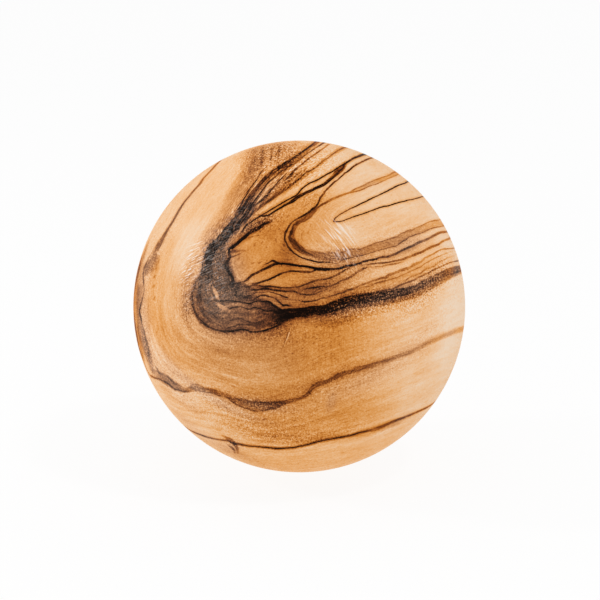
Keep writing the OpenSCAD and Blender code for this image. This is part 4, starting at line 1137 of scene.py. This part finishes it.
class Figure:
    """The curves of the veins on the ball, in groups whose lines keep clear of each other."""

    reach = 1.1

    def __init__(self, view):
        self.view = view
        self.lines = [drawn_line(line, view) for line in ALL_VEINS]
        self.curves = list(self.lines)
        for line, (places, widths, tones) in zip(ALL_VEINS, self.lines):
            if line["glow"]:
                extra, stain = line["glow"]
                fullness = np.clip(tones / line["tone"], 0.0, 1.0)
                self.curves.append((places, widths + extra * fullness, stain * fullness))
        self.groups = sorted_into_groups(self.curves, 2 * self.reach)

    def line_field(self, places, curves):
        """The signed distance, half width and tone of the nearest of some curves."""
        field = np.zeros((len(places), 3))
        field[:, 0] = FAR_OFF
        for curve in curves:
            near, signed, half, tone = vein_field(places, curve, self.reach)
            if len(near) == 0:
                continue
            better = np.abs(signed) - half < np.abs(field[near, 0]) - field[near, 1]
            field[near[better]] = np.stack((signed, half, tone), axis=1)[better]
        return field

    def draw_on(self, piece):
        """Puts the figure on the points of a mesh."""
        mesh = piece.data
        places = np.empty(len(mesh.vertices) * 3, np.float32)
        mesh.vertices.foreach_get("co", places)
        places = places.reshape(-1, 3).astype(float) * MM
        for number, group in enumerate(self.groups):
            field = self.line_field(places, [self.curves[i] for i in group])
            store(mesh, f"veins_{number}", "FLOAT_VECTOR", field)
        pale = [drawn_line(line, self.view) for line in PALE_STREAKS]
        store(mesh, "pale_streaks", "FLOAT_VECTOR", self.line_field(places, pale))
        store(mesh, "patches", "FLOAT_VECTOR", patch_fields(places, self.view))
        marks = mark_fields(places, self.view)
        store(mesh, "marks", "FLOAT_VECTOR", marks[:, :3])
        store(mesh, "rings", "FLOAT", marks[:, 3])
        store(mesh, "growth", "FLOAT", growth_field(places, ALL_VEINS, self.lines))


# The finish

WARM_STOPS = (
    (0.00, (0.860, 0.670, 0.500)),
    (0.10, (0.865, 0.570, 0.345)),
    (0.20, (0.830, 0.455, 0.202)),
    (0.30, (0.755, 0.343, 0.100)),
    (0.40, (0.655, 0.250, 0.045)),
    (0.50, (0.520, 0.165, 0.023)),
    (0.60, (0.355, 0.098, 0.014)),
    (0.70, (0.210, 0.052, 0.009)),
    (0.80, (0.100, 0.024, 0.005)),
    (0.90, (0.025, 0.008, 0.003)),
    (1.00, (0.006, 0.003, 0.002)),
)
COOL_STOPS = (
    (0.00, (0.860, 0.670, 0.500)),
    (0.10, (0.865, 0.570, 0.350)),
    (0.20, (0.785, 0.440, 0.225)),
    (0.30, (0.595, 0.305, 0.160)),
    (0.45, (0.330, 0.172, 0.100)),
    (0.60, (0.175, 0.099, 0.065)),
    (0.80, (0.058, 0.041, 0.033)),
    (1.00, (0.013, 0.010, 0.009)),
)


def wood_material(settings, group_count):
    """Figured, sanded and oiled wood, with painted highlights as pale sanding strokes and pale patches."""
    material = bpy.data.materials.new("olive wood")
    material.use_nodes = True
    tree = material.node_tree
    tree.nodes.clear()

    def node(kind, options=None, inputs=None):
        return node_of(tree, kind, options, inputs)

    def noise(vector, scale, detail=2.0, w=None, roughness=0.5):
        inputs = {"Vector": vector, "Scale": scale, "Detail": detail, "Roughness": roughness}
        if w is not None:
            inputs["W"] = w
        made = node("ShaderNodeTexNoise", {"noise_dimensions": "3D" if w is None else "4D"}, inputs)
        return Term(made.outputs[0])

    def stored(name):
        made = node("ShaderNodeAttribute", {"attribute_type": "GEOMETRY", "attribute_name": name})
        return made

    def parts(name):
        made = node("ShaderNodeSeparateXYZ", {}, {0: stored(name).outputs["Vector"]})
        return Term(made.outputs[0]), Term(made.outputs[1]), Term(made.outputs[2])

    where = node("ShaderNodeTexCoord")
    millimetres = node("ShaderNodeVectorMath", {"operation": "SCALE"}, {
        0: where.outputs["Object"], "Scale": MM}).outputs[0]
    growth = Term(stored("growth").outputs["Fac"])
    patch_tone, stipple, greyness = parts("patches")
    scuffs_and_highlights, strands_here, fibres_here = parts("marks")

    def brushed(direction, across, along, detail=1.0, roughness=0.5):
        """Noise drawn out into strokes along a direction, from about -0.2 to 0.2."""
        reach = node("ShaderNodeVectorMath", {"operation": "DOT_PRODUCT"}, {
            0: millimetres, 1: direction}).outputs["Value"]
        drawn = node("ShaderNodeVectorMath", {"operation": "SCALE"}, {
            0: direction, "Scale": Term(reach) * (along / across - 1.0)}).outputs[0]
        moved = node("ShaderNodeVectorMath", {"operation": "ADD"}, {0: millimetres, 1: drawn}).outputs[0]
        return noise(moved, across, detail, roughness=roughness) - 0.5

    slow = noise(millimetres, 0.16, 2.0) - 0.5
    speck = noise(millimetres, 3.0, 2.0, roughness=0.65) - 0.5
    grit = brushed(settings.pore_direction, 3.9, 1.5, 2.0, 0.8)
    ragged = noise(millimetres, 2.0, 3.0, roughness=0.6) - 0.5
    streak = noise(millimetres, 0.12, 3.0, growth * 9.0) - 0.5
    fine = noise(millimetres, 0.55, 2.0, growth * 7.0) - 0.5
    pore = noise(millimetres, 1.1, 1.0, growth * 6.0)
    height_there = Term(node("ShaderNodeSeparateXYZ", {}, {0: millimetres}).outputs[2])
    on_top = height_there.ramp_between(14.0, 20.0)
    fibre = (brushed(settings.fibre_direction, 3.0, 0.25) * (1.0 - on_top)
             + brushed(settings.top_fibre_direction, 3.0, 0.25) * on_top)
    rings = Term(stored("rings").outputs["Fac"])

    strength = settings.grain_strength
    tone = patch_tone + slow * 0.10 + streak * ((rings * 0.42 + 0.16) * strength)
    tone = tone + fine * (patch_tone * 0.35 + 0.10) * strength
    weight = (patch_tone.ramp_between(0.1, 0.35) * 0.15 + 0.10 + fibres_here * 0.2) * strength
    tone = tone + (speck * 0.8 + grit * 1.6 + fibre * (fibres_here * 2.4 + 0.3)) * weight
    tone = tone + (grit * 1.2 + speck * 0.4) * stipple * 1.25
    pores = pore.ramp_between(0.58, 0.74) * (patch_tone * 0.4 + 0.02) * strength
    tone = (tone + pores).limited()

    mottle = 1.0 + speck * 0.7 + grit * 0.6 + fine * 1.1
    for number in range(group_count):
        signed, half, depth = parts(f"veins_{number}")
        gap = abs(signed + ragged * 0.2)
        half = half * (ragged * 0.5 + 1.0)
        faint = 1.0 - depth
        soft = (0.055 + half * (faint * faint * faint)).maths("MINIMUM", 1.0)
        line = gap.ramp_between(half - soft, half + soft, 1.0, 0.0)
        halo = gap.ramp_between(half, half + 0.5, 0.14, 0.0)
        depth = depth * (mottle + grit * stipple * 2.8)
        depth = (depth * line.maths("MAXIMUM", halo) * settings.vein_depth).limited()
        tone = 1.0 - (1.0 - tone) * (1.0 - depth)
    signed, half, depth = parts("pale_streaks")
    gap = abs(signed + ragged * 0.22)
    line = gap.ramp_between(half - 0.08, half + 0.08, 1.0, 0.0)
    tone = tone * (1.0 - line * depth)

    side = Term(node("ShaderNodeSeparateXYZ", {}, {0: millimetres}).outputs[0])
    on_right = side.ramp_between(-6.0, 0.0)
    # Sanding marks: strokes that darken the wood a little and, in the marked patches, turn pale below; the pale
    # strokes are partly real scratches and partly painted highlights
    rising = brushed(settings.rising_marks, 4.8, 0.45)
    falling = brushed(settings.falling_marks, 3.8, 0.36)
    marks = rising * (1.0 - on_right) + falling * on_right
    strands = brushed(settings.band_direction, 4.2, 0.22)
    tone = (tone + strands * strands_here * 1.1 - marks * scuffs_and_highlights * 0.8).limited()

    warm = node("ShaderNodeValToRGB", {"stops": WARM_STOPS}, {0: tone}).outputs[0]
    cool = node("ShaderNodeValToRGB", {"stops": COOL_STOPS}, {0: tone}).outputs[0]
    colour = node("ShaderNodeMix", {"data_type": "RGBA"}, {0: greyness, 6: warm, 7: cool}).outputs[2]

    # Painted highlight: the pale strokes mix the colour towards a near-white, partly as real sanding scratches
    pale = marks.ramp_between(0.05, 0.15) * scuffs_and_highlights
    colour = node("ShaderNodeMix", {"data_type": "RGBA"}, {
        0: pale * 0.95, 6: colour, 7: (*settings.scuff_and_highlight_colour, 1.0)}).outputs[2]
    height = marks * 2.0 + speck * 0.3 - tone * 0.2
    bump = node("ShaderNodeBump", {}, {
        "Height": height, "Strength": 1.0, "Distance": settings.sanding_depth / MM}).outputs[0]
    roughness = settings.roughness + speck * 0.06
    shader = node("ShaderNodeBsdfPrincipled", {}, {
        "Base Color": colour, "Roughness": roughness, "Normal": bump,
        "IOR": settings.refraction, "Specular IOR Level": settings.gloss})
    out = node("ShaderNodeOutputMaterial")
    tree.links.new(shader.outputs[0], out.inputs["Surface"])
    return material


# The stage

def background_rays(tree):
    """1 for the rays that show the background: from the camera, a reflection or through glass."""
    path = node_of(tree, "ShaderNodeLightPath")
    seen = Term(path.outputs["Is Camera Ray"])
    seen = seen.maths("MAXIMUM", Term(path.outputs["Is Glossy Ray"]))
    return seen.maths("MAXIMUM", Term(path.outputs["Is Transmission Ray"]))


def floor_material(settings):
    """White floor that shows its own colour to the camera and keeps a soft shadow."""
    material = bpy.data.materials.new("white floor")
    material.use_nodes = True
    tree = material.node_tree
    tree.nodes.clear()
    matt = node_of(tree, "ShaderNodeBsdfDiffuse", {}, {"Color": (0.9, 0.9, 0.9, 1.0)})
    white = node_of(tree, "ShaderNodeEmission", {}, {"Color": (1.0, 1.0, 1.0, 1.0), "Strength": 1.0})
    mix = node_of(tree, "ShaderNodeMixShader", {}, {
        0: background_rays(tree) * (1.0 - settings.floor_shadow), 1: matt.outputs[0],
        2: white.outputs[0]})
    out = node_of(tree, "ShaderNodeOutputMaterial")
    tree.links.new(mix.outputs[0], out.inputs["Surface"])
    return material


def soft_lamp(name, direction, distance, size, power):
    """A square lamp that looks at the ball's middle."""
    data = bpy.data.lights.new(name, "AREA")
    data.shape = "DISK"
    data.size = size
    data.energy = power
    lamp = bpy.data.objects.new(name, data)
    lamp.location = Vector(direction).normalized() * distance
    lamp.rotation_euler = (-lamp.location).to_track_quat("-Z", "Y").to_euler()
    bpy.context.scene.collection.objects.link(lamp)
    return lamp


def viewpoint(stage, diameter):
    return Viewpoint(stage.elevation, stage.distance * MM, diameter * MM / 2)


def world_direction(view, across, up, back):
    """A direction given from the camera's own axes, in the world's."""
    return Vector(view.right * across + view.up * up + view.back * back)


# The settings, operators and panel

class WoodBallSettings(bpy.types.PropertyGroup):
    """Sizes and finish of the ball."""
    diameter: bpy.props.FloatProperty(
        name="Diameter", description="Diameter of the finished ball", default=CAD_DIAMETER,
        min=0.02, max=0.2, unit="LENGTH", subtype="DISTANCE")
    points: bpy.props.IntProperty(
        name="Points along an edge", description="Fineness of the mesh", default=129, min=9, max=129)
    grain_strength: bpy.props.FloatProperty(
        name="Grain strength", description="How strongly the growth lines and pores show",
        default=1.0, min=0.0, max=3.0, subtype="FACTOR")
    vein_depth: bpy.props.FloatProperty(
        name="Vein depth", description="How dark the veins are", default=1.0, min=0.0, max=1.5,
        subtype="FACTOR")
    roughness: bpy.props.FloatProperty(
        name="Roughness", description="Roughness of the oiled surface", default=0.38, min=0.0,
        max=1.0, subtype="FACTOR")
    gloss: bpy.props.FloatProperty(
        name="Gloss", description="Strength of the surface's reflection", default=0.05, min=0.0,
        max=1.0, subtype="FACTOR")
    refraction: bpy.props.FloatProperty(
        name="Refractive index", description="How strongly the rim of the dry, oiled surface reflects",
        default=1.1, min=1.0, max=2.0)
    sanding_depth: bpy.props.FloatProperty(
        name="Sanding depth", description="Height of the sanding marks in millimetres",
        default=0.04, min=0.0, max=0.5)
    scuff_and_highlight_colour: bpy.props.FloatVectorProperty(
        name="Sanding marks and highlights", description="Colour of the sanding marks and painted highlights where they show",
        default=(0.93, 0.85, 0.80), min=0.0, max=1.0, subtype="COLOR")
    rising_marks: bpy.props.FloatVectorProperty(
        name="Marks on the left", description="Direction of the sanding marks on the left side",
        default=(0.80, -0.33, 0.49), subtype="DIRECTION")
    fibre_direction: bpy.props.FloatVectorProperty(
        name="Fibres", description="Direction of the finest fibres of the wood",
        default=(0.03, 0.0, 1.0), subtype="DIRECTION")
    top_fibre_direction: bpy.props.FloatVectorProperty(
        name="Fibres at the top", description="Direction of the fibres in the haze at the top",
        default=(0.05, 0.98, 0.20), subtype="DIRECTION")
    pore_direction: bpy.props.FloatVectorProperty(
        name="Pores", description="Direction in which the pores of the wood run",
        default=(0.0, -0.966, 0.259), subtype="DIRECTION")
    band_direction: bpy.props.FloatVectorProperty(
        name="Strands", description="Direction of the strands in the dark band at the top",
        default=(0.53, 0.64, 0.56), subtype="DIRECTION")
    falling_marks: bpy.props.FloatVectorProperty(
        name="Marks on the right", description="Direction of the sanding marks on the right side",
        default=(0.63, -0.39, -0.68), subtype="DIRECTION")


class WoodStageSettings(bpy.types.PropertyGroup):
    """Camera, lamps and floor."""
    elevation: bpy.props.FloatProperty(
        name="Elevation", description="Camera's height above the horizon",
        default=math.radians(15), subtype="ANGLE")
    distance: bpy.props.FloatProperty(
        name="Distance", description="Camera's distance from the ball's middle", default=0.6,
        min=0.1, max=5.0, unit="LENGTH", subtype="DISTANCE")
    sky: bpy.props.FloatProperty(
        name="Sky", description="Brightness of the light from above", default=0.81, min=0.0, max=2.0)
    bounce: bpy.props.FloatProperty(
        name="Bounce", description="Brightness of the light that a white table sends back up",
        default=1.07, min=0.0, max=2.0)
    left_power: bpy.props.FloatProperty(
        name="Left lamp", description="Power of the lamp on the left", default=0.32, min=0.0,
        unit="POWER")
    upper_power: bpy.props.FloatProperty(
        name="Upper lamp", description="Power of the lamp over the camera", default=0.41, min=0.0,
        unit="POWER")
    floor_shadow: bpy.props.FloatProperty(
        name="Floor shadow", description="How much of the shadow shows", default=0.10, min=0.0,
        max=1.0, subtype="FACTOR")


class WOODBALL_OT_ball(bpy.types.Operator):
    """Make the turned ball with its figure and finish"""
    bl_idname = "woodball.ball"
    bl_label = "Make Ball"

    def execute(self, context):
        settings = context.scene.wood_ball
        figure = Figure(viewpoint(context.scene.wood_stage, settings.diameter))
        finish = wood_material(settings, len(figure.groups))
        piece = plain_mesh(PIECE_NAME, ball_tree(), {
            "Diameter": settings.diameter, "Points along an edge": settings.points, "Finish": finish})
        if len(piece.data.polygons) == 0:
            raise RuntimeError("the ball's tree made no faces")
        lay_out_map(piece.data)
        figure.draw_on(piece)
        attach(piece, BALL_BODY)
        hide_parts(BALL_NODE)
        return {"FINISHED"}


class WOODBALL_OT_stage(bpy.types.Operator):
    """Make the floor, lamps and camera"""
    bl_idname = "woodball.stage"
    bl_label = "Make Stage"

    def execute(self, context):
        scene = context.scene
        stage = scene.wood_stage
        radius = scene.wood_ball.diameter / 2
        view = viewpoint(stage, scene.wood_ball.diameter)

        half = 2.5
        mesh = bpy.data.meshes.new(FLOOR_NAME)
        mesh.from_pydata(
            [(-half, -half, -radius), (half, -half, -radius), (half, half, -radius), (-half, half, -radius)],
            [], [(0, 1, 2, 3)])
        floor = bpy.data.objects.new(FLOOR_NAME, mesh)
        scene.collection.objects.link(floor)
        mesh.materials.append(floor_material(stage))
        floor.visible_diffuse = False

        world = bpy.data.worlds.new("white room")
        world.use_nodes = True
        tree = world.node_tree
        tree.nodes.clear()
        seen = background_rays(tree)
        way = node_of(tree, "ShaderNodeTexCoord").outputs["Generated"]
        upward = Term(node_of(tree, "ShaderNodeSeparateXYZ", {}, {0: way}).outputs[2])
        light = upward.ramp_between(-0.5, 0.3, stage.bounce, stage.sky)
        sky = node_of(tree, "ShaderNodeBackground", {}, {
            "Color": (1.0, 1.0, 1.0, 1.0), "Strength": seen.maths("MAXIMUM", light)})
        out = node_of(tree, "ShaderNodeOutputWorld")
        tree.links.new(sky.outputs[0], out.inputs["Surface"])
        scene.world = world

        soft_lamp("left lamp", world_direction(view, -0.897, 0.436, 0.057), 0.4, 0.07, stage.left_power)
        soft_lamp("upper lamp", world_direction(view, 0.422, 0.752, 0.507), 0.5, 0.066, stage.upper_power)

        data = bpy.data.cameras.new("camera")
        camera = bpy.data.objects.new("camera", data)
        scene.collection.objects.link(camera)
        camera.location = Vector(view.back) * stage.distance
        camera.rotation_euler = (-camera.location).to_track_quat("-Z", "Y").to_euler()
        data.sensor_fit = "HORIZONTAL"
        half_width = view.tangent * (IMAGE_SIZE / 2) / OUTLINE_RADIUS_PIXELS
        data.angle = 2 * math.atan(half_width)
        data.shift_x = (IMAGE_SIZE / 2 - MIDDLE_X_PIXELS) / IMAGE_SIZE
        data.shift_y = (MIDDLE_Y_PIXELS - IMAGE_SIZE / 2) / IMAGE_SIZE
        data.clip_start = 0.01
        scene.camera = camera
        scene.view_settings.view_transform = "Standard"
        return {"FINISHED"}


class WOODBALL_PT_panel(bpy.types.Panel):
    """Lists the steps and their settings"""
    bl_label = "Wooden Ball"
    bl_idname = "WOODBALL_PT_panel"
    bl_space_type = "VIEW_3D"
    bl_region_type = "UI"
    bl_category = "Wooden Ball"

    def draw(self, context):
        layout = self.layout
        for name in WoodBallSettings.__annotations__:
            layout.prop(context.scene.wood_ball, name)
        layout.operator(WOODBALL_OT_ball.bl_idname)
        for name in WoodStageSettings.__annotations__:
            layout.prop(context.scene.wood_stage, name)
        layout.operator(WOODBALL_OT_stage.bl_idname)


CLASSES = (WoodBallSettings, WoodStageSettings, WOODBALL_OT_ball, WOODBALL_OT_stage, WOODBALL_PT_panel)


def register():
    for each in CLASSES:
        bpy.utils.register_class(each)
    bpy.types.Scene.wood_ball = bpy.props.PointerProperty(type=WoodBallSettings)
    bpy.types.Scene.wood_stage = bpy.props.PointerProperty(type=WoodStageSettings)


def unregister():
    del bpy.types.Scene.wood_stage
    del bpy.types.Scene.wood_ball
    for each in reversed(CLASSES):
        bpy.utils.unregister_class(each)


def main():
    register()
    bpy.ops.woodball.ball()
    bpy.ops.woodball.stage()


if __name__ == "__main__":
    main()
